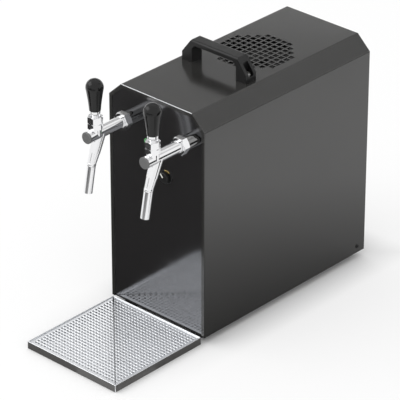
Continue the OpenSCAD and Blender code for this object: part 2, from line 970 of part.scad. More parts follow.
module filter_drier() {
    color([0.72, 0.45, 0.30])
    in_cabinet() translate([gas_side, drier_y, drier_z])
        rotate_extrude()
            polygon([[0, 0], [gas_r + drier_neck, 0], [gas_r + drier_neck, drier_cone / 2],
                     [drier_r, drier_cone], [drier_r, drier_len - drier_cone],
                     [gas_r, drier_len - drier_cone / 2], [gas_r, drier_len], [0, drier_len]]);
}

module copper_line(points, r, bore, bend) {
    color([0.72, 0.45, 0.30])
    in_cabinet() pipe(points, r, bore, bend);
}

// Hot gas from the shell's top to the condenser's upper end
module discharge_line() {
    level = pass_z(passes - 1);
    turn_x = cond_end + tube_end + gas_bend / 2 + cut;
    copper_line([[0, shell_y, shell_stub_z], [0, shell_y, level], [turn_x, shell_y, level],
                 [turn_x, cond_mid, level], [cond_end + tube_end, cond_mid, level]],
                gas_r, gas_bore, gas_bend / 2);
}

// Cold gas from the cooling block back to the shell's top
module suction_line() {
    level = insul_top + gas_rise;
    end_y = shell_y - gas_out;
    copper_line([[-gas_x, gas_y, stub_top], [-gas_x, gas_y, level], [-gas_x, end_y, level],
                 [-gas_x, end_y, shell_z + shell_h]], gas_r, gas_bore, gas_bend);
}

// Liquid from the condenser's lower end into the drier
module liquid_line() {
    level = pass_z(0);
    copper_line([[cond_end + tube_end, cond_mid, level], [gas_side, cond_mid, level],
                 [gas_side, drier_y, level], [gas_side, drier_y, drier_z]],
                gas_r, gas_bore, gas_bend);
}

// Thin tube from the drier up and over to the cooling block
module capillary() {
    level = insul_top + cap_rise;
    copper_line([[gas_side, drier_y, drier_z + drier_len], [gas_side, drier_y, level],
                 [gas_side, gas_y, level], [gas_x, gas_y, level], [gas_x, gas_y, stub_top]],
                cap_r, cap_bore, cap_bend);
}

// Cast block with the pipe ends that come out of it through the insulation
module cooling_block() {
    color([0.75, 0.76, 0.78])
    in_cabinet() {
        translate([-block_w / 2, block_mid - block_d / 2, insul_z + insul_t])
            cube([block_w, block_d, insul_h - 2 * insul_t]);
        block_stubs(0);
    }
}

module block_stubs(grow) {
    low = insul_top - insul_t - cut;
    for (x = [-1, 1]) {
        translate([x * inlet_pitch / 2, beer_in_y, low])
            cylinder(h = stub_top - low + grow, r = pipe_r + grow);
        translate([outlet_x(x), beer_out_y, low])
            cylinder(h = stub_top - low + grow, r = pipe_r + grow);
        translate([x * gas_x, gas_y, low])
            cylinder(h = stub_top - low + grow, r = gas_r + grow);
    }
}

// Two foam halves round the block, parted across its middle
module insulation_half(y, d) {
    color([0.88, 0.88, 0.85])
    in_cabinet() difference() {
        translate([-insul_w / 2, y, insul_z]) cube([insul_w, d, insul_h]);
        translate([-block_w / 2 - fit_gap, block_mid - block_d / 2 - fit_gap, insul_z + insul_t])
            cube([block_w + 2 * fit_gap, block_d + 2 * fit_gap, insul_h - 2 * insul_t + fit_gap]);
        block_stubs(hole_gap);
    }
}

module insulation_front() {
    insulation_half(insul_y, insul_d / 2);
}

module insulation_rear() {
    insulation_half(block_mid, insul_d / 2);
}

// Beer pipes

module beer_pipe(points) {
    color([0.78, 0.79, 0.80])
    in_cabinet() pipe(points, pipe_r, pipe_bore, pipe_bend);
}

module inlet_line(side) {
    x = side * inlet_pitch / 2;
    beer_pipe([[x, rear_in - inlet_tail, inlet_z], [x, beer_in_y, inlet_z],
               [x, beer_in_y, stub_top]]);
}

// The left line runs straight to its tap; the right one first turns outwards
function outlet_x(side) = tap_x(side) - (side == right ? outlet_jog : 0);

module outlet_line(side) {
    x = outlet_x(side);
    out = tap_x(side);
    turn = side == right ? [[out, beer_out_y, tap_z]] : [];
    beer_pipe(concat([[x, beer_out_y, stub_top], [x, beer_out_y, tap_z]], turn,
                     [[out, shank_end, tap_z]]));
}

// Bulkhead pipes with an outer hexagon and an inner nut
module inlet_fittings() {
    color([0.76, 0.76, 0.76])
    in_cabinet()
        for (x = [-1, 1])
            translate([x * inlet_pitch / 2, 0, inlet_z]) {
                difference() {
                    union() {
                        rod_y(rear_y, inlet_out, inlet_r);
                        hex_y(rear_y, inlet_nut_h, inlet_af, nut_chamfer);
                        rod_y(rear_in - inlet_tail, inlet_tail + panel_t + cut, inlet_thread_r);
                    }
                    rod_y(rear_in - inlet_tail - cut,
                          inlet_tail + panel_t + inlet_out + 2 * cut, pipe_bore);
                }
                difference() {
                    hex_y(rear_in - inlet_nut_h, inlet_nut_h, inlet_af, nut_chamfer);
                    rod_y(rear_in - inlet_nut_h - cut, inlet_nut_h + 2 * cut,
                          inlet_thread_r + run_gap);
                }
            }
}

// Appliance socket with its three flat pins in a recess
module power_inlet() {
    color([0.05, 0.05, 0.05])
    in_cabinet() translate([0, rear_y, power_z]) {
        difference() {
            union() {
                translate([-socket_flange[0] / 2, 0, -socket_flange[2] / 2])
                    cube(socket_flange);
                translate([-socket_w / 2, -socket_in, -socket_h / 2])
                    cube([socket_w, socket_in + cut, socket_h]);
            }
            translate([-recess_w / 2, socket_flange[1] - recess_d, -recess_h / 2])
                cube([recess_w, recess_d + cut, recess_h]);
            for (x = [-1, 1])
                translate([x * socket_screw_x, 0, 0])
                    rod_y(-cut, socket_flange[1] + 2 * cut, socket_screw_r);
        }
        for (i = [-1 : 1])
            translate([i * pin_step - blade_pin[0] / 2, socket_flange[1] - recess_d - cut,
                       (i == 0 ? pin_drop : -pin_drop) - blade_pin[2] / 2])
                cube([blade_pin[0], blade_pin[1] + cut, blade_pin[2]]);
    }
}

// Controls on the front panel

// Switch box behind the panel with its bush and spindle
module thermostat() {
    color([0.55, 0.55, 0.52])
    in_cabinet() translate([thermo_x, 0, thermo_z]) {
        translate([-thermo_w / 2, panel_back, -thermo_h / 2])
            cube([thermo_w, insul_front - fit_gap, thermo_h]);
        rod_y(panel_y - bush_out, panel_t + bush_out + cut, bush_r);
        rod_y(panel_y - thermo_len + knob_edge, thermo_len + panel_t, spindle_r);
    }
}

module thermostat_bezel() {
    color([0.06, 0.06, 0.06])
    in_cabinet() translate([thermo_x, 0, thermo_z])
        lathe_y([[bush_r + hole_gap, panel_y - bezel_t],
                 [bezel_r - bezel_t / 2, panel_y - bezel_t],
                 [bezel_r, panel_y - bezel_t / 2], [bezel_r, panel_y],
                 [bush_r + hole_gap, panel_y]]);
}

// Fluted knob on the spindle, with a pointer groove across its face
module thermostat_knob() {
    back = panel_y - bezel_t - knob_gap;
    front = back - thermo_len;
    color([0.06, 0.06, 0.06])
    in_cabinet() translate([thermo_x, 0, thermo_z]) difference() {
        lathe_y([[0, front], [thermo_r - 2 * knob_edge, front],
                 [thermo_r - knob_edge, front + knob_edge], [thermo_r, back], [0, back]]);
        rod_y(front + knob_floor, thermo_len, spindle_r + run_gap);
        rod_y(back - bush_out, thermo_len, bush_r + pass_gap);
        for (i = [0 : flutes - 1])
            rotate([0, i * 360 / flutes, 0])
                translate([thermo_r, 0, 0])
                    rod_y(front - cut, thermo_len + 2 * cut, flute_r);
        rotate([0, pointer_turn, 0])
            translate([-pointer_w / 2, front - cut, 0])
                cube([pointer_w, cut + pointer_t, thermo_r]);
    }
}

// Green lens in a bezel, with its body through the panel
module pilot_lamp() {
    color([0.15, 0.60, 0.20])
    in_cabinet() translate([-lamp_x, 0, lamp_z])
        lathe_y([[0, panel_y - lamp_out], [lamp_r / 2, panel_y - lamp_out + lamp_rim / 4],
                 [lamp_r - lamp_rim, panel_y - lamp_out / 2], [lamp_r, panel_y - lamp_rim],
                 [lamp_r, panel_y], [lamp_r - lamp_rim, panel_y],
                 [lamp_r - lamp_rim, panel_back + lamp_tail], [0, panel_back + lamp_tail]]);
}

// Taps

chrome = [0.82, 0.83, 0.84];

// Threaded tube through the panel with the sleeve that stands in front of it
module shank(side) {
    color(chrome)
    in_cabinet() tap_axis(side)
        lathe_y([[shank_bore, joint_y], [shank_thread_r, joint_y], [shank_thread_r, nut_back],
                 [sleeve_r, nut_back], [sleeve_r, panel_y], [shank_r, panel_y],
                 [shank_r, shank_end], [shank_bore, shank_end]]);
}

module locknut(side) {
    color([0.70, 0.70, 0.68])
    in_cabinet() tap_axis(side) difference() {
        hex_y(panel_back, locknut_h, coupling_af, nut_chamfer);
        rod_y(panel_back - cut, locknut_h + 2 * cut, shank_r + run_gap);
    }
}

// Union nut that draws the barrel's flange onto the shank
module coupling_nut(side) {
    front = nut_back - nut_len;
    color(chrome)
    in_cabinet() tap_axis(side) difference() {
        hex_y(front, nut_len, coupling_af, nut_chamfer);
        rod_y(front - cut, nut_len + 2 * cut, barrel_r + hole_gap);
        rod_y(front + nut_lip, nut_len, shank_thread_r + hole_gap);
    }
}

// Barrel with its tail flange, valve seat, hexagon neck and leaning outlet
module tap_body(side) {
    flange_front = nut_back - nut_len + nut_lip;
    color(chrome)
    in_cabinet() tap_axis(side) difference() {
        union() {
            lathe_y([[0, -barrel_out], [barrel_r, -barrel_out], [barrel_r, flange_front],
                     [shank_thread_r, flange_front], [shank_thread_r, joint_y], [0, joint_y]]);
            translate([0, -neck_y, 0]) {
                cylinder(h = neck_foot - tap_z + cut, r = barrel_r + hole_gap);
                hex_z(neck_foot - tap_z, neck_h, neck_af, nut_chamfer);
            }
            outlet_axis() translate([0, 0, -outlet_len])
                cylinder(h = outlet_len, r1 = outlet_end_r, r2 = outlet_r);
        }
        rod_y(seat_y, -seat_y, barrel_bore);
        rod_y(seat_y - seat_t - cut, seat_t + 2 * cut, seat_bore);
        rod_y(-barrel_out - cut, barrel_out + seat_y - seat_t + cut, barrel_bore);
        translate([0, -neck_y, barrel_bore - 1])
            cylinder(h = neck_top, r = neck_bore);
        outlet_axis() translate([0, 0, -outlet_len - cut])
            cylinder(h = outlet_len + cut, r = spout_bore);
    }
}

// Leans the outlet forwards from the barrel's axis
module outlet_axis() {
    translate([0, -outlet_root, 0]) rotate([-outlet_lean, 0, 0]) children();
}

module front_cap(side) {
    color([0.45, 0.45, 0.46])
    in_cabinet() tap_axis(side)
        lathe_y([[0, -barrel_out - cap_t], [barrel_r - cap_edge, -barrel_out - cap_t],
                 [barrel_r, cap_edge - barrel_out - cap_t], [barrel_r, -barrel_out],
                 [barrel_bore - hole_gap, -barrel_out],
                 [barrel_bore - hole_gap, cap_plug - barrel_out], [0, cap_plug - barrel_out]]);
}

// Hexagon nut that holds the lever's ball and its pivot pin on the neck
module bonnet_nut(side) {
    low = neck_top - tap_z;
    high = bonnet_top - tap_z;
    pivot = pivot_z - tap_z;
    mouth = (high - pivot) * tan(lever_open) + stem_r / cos(lever_open) + pass_gap;
    color(chrome)
    in_cabinet() tap_axis(side) translate([0, -neck_y, 0]) {
        difference() {
            hex_z(low, high - low, neck_af, nut_chamfer);
            translate([0, 0, pivot]) sphere(ball_r + pass_gap);
            translate([0, 0, low - cut]) cylinder(h = pivot - low + cut, r = ball_r + pass_gap);
            translate([0, 0, pivot])
                cylinder(h = high - pivot + 0.01, r1 = ball_r + pass_gap, r2 = mouth);
        }
        translate([0, 0, pivot])
            rotate([0, 90, 0]) cylinder(h = neck_af - 1, r = pin_r, center = true);
    }
}

// Ball, stem and ferrule above the pivot, finger below it
module lever(side) {
    low = ferrule_low;
    high = knob_z - pivot_z;
    color(chrome)
    in_cabinet() tap_axis(side) translate([0, -neck_y, pivot_z - tap_z]) difference() {
        union() {
            sphere(ball_r);
            rotate_extrude()
                polygon([[0, 0], [stem_r, 0], [stem_r, low], [ferrule_r - 2, low],
                         [ferrule_r, low + 2], [ferrule_r, high], [knob_stud_r, high],
                         [knob_stud_r, high + knob_stud_h], [0, high + knob_stud_h]]);
            translate([0, 0, -finger_len]) cylinder(h = finger_len, r = finger_r);
            translate([0, 0, -finger_len]) sphere(finger_ball);
        }
        rotate([0, 90, 0]) cylinder(h = 4 * ball_r, r = pin_r + run_gap, center = true);
    }
}

// Tapered knob with a domed top, screwed onto the lever's stud
module knob(side) {
    crown = knob_h - knob_r;
    lean = asin((knob_r - knob_foot_r) / norm([crown, knob_r - knob_foot_r]));
    color([0.08, 0.08, 0.08])
    in_cabinet() tap_axis(side) translate([0, -neck_y, knob_z - tap_z]) difference() {
        rotate_extrude() {
            polygon([[0, 0], [knob_foot_r, 0], [knob_r * cos(lean), crown - knob_r * sin(lean)],
                     [0, crown]]);
            intersection() {
                translate([0, crown]) circle(knob_r);
                square([knob_r, 2 * knob_h]);
            }
        }
        translate([0, 0, -cut])
            cylinder(h = knob_stud_h + 2 * cut, r = knob_stud_r + run_gap);
    }
}

// Outlet pipe: a cone below the tap body, a bead at the slight bend and a straight end
module spout(side) {
    color(chrome)
    in_cabinet() tap_axis(side) outlet_axis() difference() {
        union() {
            translate([0, 0, -outlet_len - spout_cone])
                cylinder(h = spout_cone, r1 = spout_r, r2 = outlet_end_r - spout_step);
            spout_end() {
                sphere(spout_r + spout_bead);
                translate([0, 0, -spout_len]) cylinder(h = spout_len, r = spout_r);
            }
        }
        translate([0, 0, -outlet_len - spout_cone])
            cylinder(h = spout_cone + cut, r = spout_bore);
        spout_end() {
            sphere(spout_bore + spout_bead);
            translate([0, 0, -spout_len - cut]) cylinder(h = spout_len + cut, r = spout_bore);
        }
    }
}

// Sets the straight end at the bend, at its own lean
module spout_end() {
    translate([0, 0, -outlet_len - spout_cone])
        rotate([outlet_lean - spout_lean, 0, 0]) children();
}

// Valve rod: seal head behind the seat, guide land in front, fork for the finger
module piston(side) {
    color([0.62, 0.62, 0.60])
    in_cabinet() tap_axis(side) difference() {
        union() {
            lathe_y([[0, piston_land_y], [barrel_bore - run_gap, piston_land_y],
                     [barrel_bore - run_gap, piston_land_y + piston_land_len],
                     [piston_rod_r, piston_land_y + piston_land_len],
                     [piston_rod_r, seat_y + fit_gap], [piston_head_r, seat_y + fit_gap],
                     [piston_head_r, seat_y + piston_head_t], [0, seat_y + piston_head_t]]);
            translate([-fork_w / 2, -neck_y - fork_half, 0])
                cube([fork_w, 2 * fork_half, fork_top - tap_z]);
        }
        translate([-fork_w, fork_wall - neck_y - fork_half, fork_floor])
            cube([2 * fork_w, 2 * (fork_half - fork_wall), fork_slot]);
    }
}

// Drip tray

module drip_tray() {
    color([0.26, 0.26, 0.25])
    in_cabinet() translate([-tray_w / 2, tray_y, 0]) difference() {
        cube([tray_w, tray_d, tray_h]);
        translate([tray_t, tray_t, tray_t])
            cube([tray_w - 2 * tray_t, tray_d - 2 * tray_t, tray_h]);
    }
}

// Perforated plate with turned-down edges that stand on the tray's floor
module drip_grille() {
    color([0.80, 0.81, 0.81])
    in_cabinet() translate([0, tray_y + tray_d / 2, 0]) {
        translate([0, 0, grille_top - grille_t])
            linear_extrude(grille_t) difference() {
                square([grille_w, grille_d], center = true);
                grille_holes();
            }
        translate([0, 0, tray_t])
            linear_extrude(grille_top - tray_t) difference() {
                square([grille_w, grille_d], center = true);
                square([grille_w - 2 * grille_t, grille_d - 2 * grille_t], center = true);
            }
    }
}

module grille_holes() {
    for (i = [0 : grille_count_x - 1], j = [0 : grille_count_y - 1])
        translate([(i - (grille_count_x - 1) / 2) * grille_pitch,
                   (j - (grille_count_y - 1) / 2) * grille_pitch])
            square(grille_hole, center = true);
}

cover();
base_pan();
front_panel();
back_panel();
rubber_feet();
cover_screws();
back_screws();
carry_handle();
handle_screws();
fan_frame();
fan_motor();
fan_rotor();
fan_nuts();
condenser_fins();
condenser_tube();
compressor();
compressor_grommets();
compressor_bolts();
terminal_box();
filter_drier();
discharge_line();
suction_line();
liquid_line();
capillary();
cooling_block();
insulation_front();
insulation_rear();
inlet_line(left);  // left_inlet_line
inlet_line(right);  // right_inlet_line
outlet_line(left);  // left_outlet_line
outlet_line(right);  // right_outlet_line
inlet_fittings();
power_inlet();
thermostat();
thermostat_bezel();
thermostat_knob();
pilot_lamp();
shank(left);  // left_shank
shank(right);  // right_shank
locknut(left);  // left_locknut
locknut(right);  // right_locknut
coupling_nut(left);  // left_coupling_nut
coupling_nut(right);  // right_coupling_nut
tap_body(left);  // left_tap_body
tap_body(right);  // right_tap_body
front_cap(left);  // left_front_cap
front_cap(right);  // right_front_cap
bonnet_nut(left);  // left_bonnet_nut
bonnet_nut(right);  // right_bonnet_nut
lever(left);  // left_lever
lever(right);  // right_lever
knob(left);  // left_knob
knob(right);  // right_knob
spout(left);  // left_spout
spout(right);  // right_spout
piston(left);  // left_piston
piston(right);  // right_piston
drip_tray();
drip_grille();
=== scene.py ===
# %% [markdown]
# # A counter-top beer cooler with two taps
# The real object is a sheet-metal cabinet with a cooling machine inside, two chrome taps on its
# front and a loose drip tray before it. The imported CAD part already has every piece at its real
# size and place, so nothing is measured twice. This file sets up a camera and a studio, gives
# each piece its finish, and makes anew only the pieces whose bends, holes and turned shapes
# deserve a finer mesh than a plain solid gives.

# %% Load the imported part
import json
import math

import bmesh
import bpy
from mathutils import Matrix, Vector


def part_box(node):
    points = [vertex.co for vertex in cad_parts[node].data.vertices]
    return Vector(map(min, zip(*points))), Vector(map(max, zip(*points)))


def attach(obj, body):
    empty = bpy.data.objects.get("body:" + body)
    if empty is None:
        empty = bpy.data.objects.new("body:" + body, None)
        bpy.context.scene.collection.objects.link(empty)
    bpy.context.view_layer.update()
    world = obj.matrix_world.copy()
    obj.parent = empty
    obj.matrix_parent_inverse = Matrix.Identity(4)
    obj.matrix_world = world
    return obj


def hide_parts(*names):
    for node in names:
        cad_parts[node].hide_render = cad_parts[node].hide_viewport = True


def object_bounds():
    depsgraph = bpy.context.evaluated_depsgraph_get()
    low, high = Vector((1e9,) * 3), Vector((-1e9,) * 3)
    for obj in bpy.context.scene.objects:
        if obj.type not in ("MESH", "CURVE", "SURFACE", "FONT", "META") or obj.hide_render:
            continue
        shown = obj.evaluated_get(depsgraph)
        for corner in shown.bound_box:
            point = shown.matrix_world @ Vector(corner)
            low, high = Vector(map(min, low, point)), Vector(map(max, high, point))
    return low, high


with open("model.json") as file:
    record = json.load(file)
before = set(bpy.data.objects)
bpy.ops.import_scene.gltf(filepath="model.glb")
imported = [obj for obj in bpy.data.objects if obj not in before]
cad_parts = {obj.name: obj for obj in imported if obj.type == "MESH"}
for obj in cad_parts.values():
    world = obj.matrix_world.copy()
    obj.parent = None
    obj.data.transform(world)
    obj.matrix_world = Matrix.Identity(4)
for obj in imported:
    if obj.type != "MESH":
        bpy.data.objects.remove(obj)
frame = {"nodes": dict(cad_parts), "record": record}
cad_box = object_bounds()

mm = 0.001
nodes = frame["nodes"]
cover_low, cover_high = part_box("cover")
print("nodes:", len(nodes), "cover from", cover_low, "to", cover_high)

# %% [markdown]
# The camera looks from where the photograph was taken: to the right of the taps and above the
# cabinet. A near camera with a short lens could frame the object too, but the upright edges
# would then lean together. In the photograph they stay nearly parallel, so the camera stands more
# than four metres away and has a long lens.

# %% Camera
lens_length, sensor_width, view_reach = 263.08, 36, 50
camera_right, camera_before_cover, camera_height = 2.8616, 2.9963, 2.4867
camera_tilt, camera_turn = math.radians(61.4264), math.radians(42.7166)
camera_data = bpy.data.cameras.new("camera")
camera_data.lens = lens_length
camera_data.sensor_width = sensor_width
camera_data.clip_end = view_reach
camera = bpy.data.objects.new("camera", camera_data)
camera.location = (camera_right, cover_low.y - camera_before_cover, camera_height)
camera.rotation_euler = (camera_tilt, 0, camera_turn)
bpy.context.scene.collection.objects.link(camera)
bpy.context.scene.camera = camera
print("camera at", tuple(camera.location))

# %% [markdown]
# The background is white, and the object needs soft light from all sides. A sky of one colour
# gives both. Its Light Path node tells who is looking: the camera and mirrors see pure white,
# while the light that falls on the object keeps a slightly lower, plain level.

# %% White sky
scene = bpy.context.scene
scene.view_settings.view_transform = "Standard"
white = (1, 1, 1, 1)
sky_light, sky_white = 0.9, 1.0


def math_node(tree, operation, first, second=0):
    """Works on a socket, together with a number or another socket."""
    node = tree.nodes.new("ShaderNodeMath")
    node.operation = operation
    tree.links.new(first, node.inputs[0])
    if isinstance(second, bpy.types.NodeSocket):
        tree.links.new(second, node.inputs[1])
    else:
        node.inputs[1].default_value = second
    return node.outputs[0]


def map_range(tree, source, given, wanted):
    """Maps one range of values onto another, and stops at its ends."""
    node = tree.nodes.new("ShaderNodeMapRange")
    node.inputs["From Min"].default_value, node.inputs["From Max"].default_value = given
    node.inputs["To Min"].default_value, node.inputs["To Max"].default_value = wanted
    tree.links.new(source, node.inputs["Value"])
    return node.outputs["Result"]


def seen_directly(tree):
    """1 for rays from the camera, from a mirror or through glass, 0 for soft light."""
    rays = tree.nodes.new("ShaderNodeLightPath").outputs
    camera_or_mirror = math_node(tree, "MAXIMUM", rays["Is Camera Ray"], rays["Is Glossy Ray"])
    return math_node(tree, "MAXIMUM", camera_or_mirror, rays["Is Transmission Ray"])


sky = bpy.data.worlds.new("studio_sky")
scene.world = sky
sky.use_nodes = True
background = sky.node_tree.nodes["Background"]
background.inputs["Color"].default_value = white
sky_level = map_range(sky.node_tree, seen_directly(sky.node_tree), (0, 1), (sky_light, sky_white))
sky.node_tree.links.new(sky_level, background.inputs["Strength"])
print("sky lights at", sky_light, "and is seen at", sky_white)

# %% [markdown]
# Two broad panels add direction to the light. The one overhead lightens the top and is kept out
# of mirrors, where it would look like a hard white patch. The one at the front left stays in
# them, because the grille, the chrome and the black front all mirror a bright side of the room.

# %% Lamps
def area_lamp(name, place, target, size, power):
    """A rectangular panel of light that looks at a target."""
    lamp = bpy.data.lights.new(name, "AREA")
    lamp.shape = "RECTANGLE"
    lamp.size, lamp.size_y = size
    lamp.energy = power
    holder = bpy.data.objects.new(name, lamp)
    holder.location = place
    holder.rotation_euler = (Vector(target) - Vector(place)).to_track_quat("-Z", "Y").to_euler()
    scene.collection.objects.link(holder)
    print(name, "gives", power, "watts")
    return holder


top_lamp = area_lamp("key_top", place=(-0.5, -0.5, 2.6), target=(0, 0, 0.2), size=(2.6, 2.6),
                     power=16)
top_lamp.visible_glossy = False
area_lamp("front_left_panel", place=(-1.7, -1.8, 2.2), target=(0, -0.15, 0.1), size=(2.6, 1.6),
          power=20)

# %% [markdown]
# The floor is a plain pale surface that catches the object's shadow. Lit like the object it
# would look grey, so away from the object it is mixed with a white glow that only the camera and
# mirrors see. Close to the object the glow fades out, and the contact shadow stays.

# %% Helpers for the stage
matt_roughness = 0.9


def shader_of(finish):
    return finish.node_tree.nodes["Principled BSDF"]


def matt_finish(name, grey):
    """A grey surface without any gloss, for the stage."""
    finish = bpy.data.materials.new(name)
    finish.use_nodes = True
    shader_of(finish).inputs["Base Color"].default_value = (grey, grey, grey, 1)
    shader_of(finish).inputs["Roughness"].default_value = matt_roughness
    shader_of(finish).inputs["Specular IOR Level"].default_value = 0.0
    return finish


def stage_piece(name, shape, finish):
    """Makes a shape a part of the stage, which is no part of the object."""
    data = bpy.data.meshes.new(name)
    shape.to_mesh(data)
    shape.free()
    data.materials.append(finish)
    piece = bpy.data.objects.new(name, data)
    scene.collection.objects.link(piece)
    return piece


def object_axes(tree, turn=0):
    """The X, Y and Z of Object coordinates, turned about Z by some degrees."""
    place = tree.nodes.new("ShaderNodeTexCoord")
    mapping = tree.nodes.new("ShaderNodeMapping")
    mapping.inputs["Rotation"].default_value = (0, 0, math.radians(turn))
    split = tree.nodes.new("ShaderNodeSeparateXYZ")
    tree.links.new(place.outputs["Object"], mapping.inputs["Vector"])
    tree.links.new(mapping.outputs["Vector"], split.inputs["Vector"])
    return split.outputs


print("stage surfaces have a roughness of", matt_roughness)

# %% Floor
floor_half, floor_grey = 12, 0.9
glow_fade, glow_share = 0.06, 0.65


def outside_footprint(tree):
    """How far a point of the floor lies outside the object's footprint."""
    axes = object_axes(tree)
    sides = []
    for axis, half in (("X", cad_box[1][0]), ("Y", cad_box[1][1])):
        distance = math_node(tree, "ABSOLUTE", axes[axis])
        sides.append(math_node(tree, "SUBTRACT", distance, half))
    return math_node(tree, "MAXIMUM", *sides)


floor_finish = matt_finish("studio_floor", floor_grey)
floor_tree = floor_finish.node_tree
floor_glow = floor_tree.nodes.new("ShaderNodeEmission")
floor_glow.inputs["Color"].default_value = white
floor_share = map_range(floor_tree, outside_footprint(floor_tree), (0, glow_fade), (0, glow_share))
floor_share = math_node(floor_tree, "MULTIPLY", floor_share, seen_directly(floor_tree))
floor_blend = floor_tree.nodes.new("ShaderNodeMixShader")
floor_tree.links.new(floor_share, floor_blend.inputs["Fac"])
floor_tree.links.new(shader_of(floor_finish).outputs["BSDF"], floor_blend.inputs[1])
floor_tree.links.new(floor_glow.outputs["Emission"], floor_blend.inputs[2])
floor_tree.links.new(floor_blend.outputs["Shader"],
                     floor_tree.nodes["Material Output"].inputs["Surface"])
floor_shape = bmesh.new()
bmesh.ops.create_grid(floor_shape, x_segments=1, y_segments=1, size=floor_half)
stage_piece("studio_floor", floor_shape, floor_finish)
print("floor is", 2 * floor_half, "metres wide")

# %% [markdown]
# In an all-white room chrome looks like paper, because a mirror shows only what stands round it.
# Studios put up grey cards for that. These cards do the same: only mirrors and the glass
# lens see them, they throw no shadow and no light on anything, and most of them fade from one
# shade to another, so that their reflections have no hard edge.

# %% Helper for the cards
def stage_card(name, corner, along, up, axis, reach, shades, turn=0):
    """A card on two sides from a corner, whose grey runs between two shades along an axis."""
    shape = bmesh.new()
    start = shape.verts.new(corner)
    side = bmesh.ops.extrude_vert_indiv(shape, verts=[start])
    bmesh.ops.translate(shape, vec=along, verts=side["verts"])
    made = bmesh.ops.extrude_edge_only(shape, edges=side["edges"])["geom"]
    far_verts = [item for item in made if isinstance(item, bmesh.types.BMVert)]
    bmesh.ops.translate(shape, vec=up, verts=far_verts)
    finish = matt_finish(name, shades[0])
    grey = map_range(finish.node_tree, object_axes(finish.node_tree, turn)[axis], reach, shades)
    finish.node_tree.links.new(grey, shader_of(finish).inputs["Base Color"])
    card = stage_piece(name, shape, finish)
    card.visible_camera = False
    card.visible_diffuse = False
    card.visible_shadow = False
    print(name, "runs from", shades[0], "to", shades[1])


# %% Cards for the mirrors
above_floor = 0.5 * mm
# Dark floor in front, for the black front and the undersides of the taps
stage_card("front_card", corner=(-0.2, cover_low.y, above_floor), along=(0.4, 0, 0),
           up=(-0.7, -0.76, 0), axis="Y", reach=(-1, 0), shades=(0.03, 0.02))
# Floor at the right for the long wall, with painted shade: darker near the front and the cabinet
stage_card("right_card", corner=(0.108, -0.35, above_floor), along=(0.61, 0, 0),
           up=(0, 1.6, 0), axis="X", reach=(0.03, 0.55), shades=(0.16, 0.95), turn=-40)
# Upright strips at the right and in front, for dark lines in the chrome
stage_card("right_flag", corner=(0.72, -0.1, above_floor), along=(0, 1.4, 0),
           up=(0, 0, 0.4), axis="Z", reach=(0.3, 0.4), shades=(0.03, 0.9))
stage_card("front_flag", corner=(-0.6, -1.9, above_floor), along=(0.5, 0, 0),
           up=(0, 0, 0.5), axis="Z", reach=(0.35, 0.5), shades=(0.05, 0.9))
# Far floor in front, which the black front shows when it is seen level
stage_card("far_card", corner=(-1.8, -3.8, above_floor), along=(3.6, 0, 0),
           up=(0, 2.5, 0), axis="Y", reach=(-3.8, -1.3), shades=(0.08, 0.3))
# Wall behind for the top, and a piece of ceiling for the right slope
stage_card("back_card", corner=(-1.84, -0.07, 0.3), along=(2.2, 2.05, 0),
           up=(0, 0, 2.1), axis="Z", reach=(0.7, 0.95), shades=(0.95, 0.5))
stage_card("slope_card", corner=(0.45, 0.7, 1.6), along=(1.0, 0, 0),
           up=(0, 1.3, 0), axis="X", reach=(0.4, 1.5), shades=(0.9, 0.6))
print("cards on the floor lie", above_floor / mm, "mm above it")

# %% [markdown]
# Every finish is a Principled shader with a procedural pattern behind its roughness, bump or
# colour. Pictures wrapped round the pieces would need UV maps; a noise that reads Object
# coordinates needs none and is never stretched. Object coordinates are metres here, so a scale of
# 800 gives grains a little over a millimetre wide.

# %% Start of a finish
finish_of_slot = {}


def new_finish(slot, color, metallic, roughness, sockets=()):
    """A finish for one of the record's slots, with any further (socket, value) pairs."""
    finish = bpy.data.materials.new(slot + "_finish")
    finish_of_slot[slot] = finish
    finish.use_nodes = True
    finish.diffuse_color = (*color, 1)
    inputs = shader_of(finish).inputs
    inputs["Base Color"].default_value = (*color, 1)
    inputs["Metallic"].default_value = metallic
    inputs["Roughness"].default_value = roughness
    for socket, value in sockets:
        inputs[socket].default_value = value
    return finish


slots = [row["slot"] for row in frame["record"]["materials"]]
print("slots to fill:", slots)

# %% Patterns of a finish
noise_middle = (0.3, 0.7)


def grain(finish, scale, stretch=(1, 1, 1), detail=3.0):
    """A noise with about so many grains to the metre, squeezed along the axes by stretch."""
    tree = finish.node_tree
    place = tree.nodes.new("ShaderNodeTexCoord")
    mapping = tree.nodes.new("ShaderNodeMapping")
    mapping.inputs["Scale"].default_value = stretch
    noise = tree.nodes.new("ShaderNodeTexNoise")
    noise.inputs["Scale"].default_value = scale
    noise.inputs["Detail"].default_value = detail
    tree.links.new(place.outputs["Object"], mapping.inputs["Vector"])
    tree.links.new(mapping.outputs["Vector"], noise.inputs["Vector"])
    return noise.outputs["Fac"]


def rough_by(finish, scale, low, high, **pattern):
    """Lets the roughness wander between two values."""
    tree = finish.node_tree
    rough = map_range(tree, grain(finish, scale, **pattern), noise_middle, (low, high))
    tree.links.new(rough, shader_of(finish).inputs["Roughness"])


def color_by(finish, scale, dark, light, **pattern):
    """Lets the colour wander between two tones."""
    tree = finish.node_tree
    blend = tree.nodes.new("ShaderNodeMix")
    blend.data_type = "RGBA"
    blend.inputs["A"].default_value = (*dark, 1)
    blend.inputs["B"].default_value = (*light, 1)
    share = map_range(tree, grain(finish, scale, **pattern), noise_middle, (0, 1))
    tree.links.new(share, blend.inputs["Factor"])
    tree.links.new(blend.outputs["Result"], shader_of(finish).inputs["Base Color"])


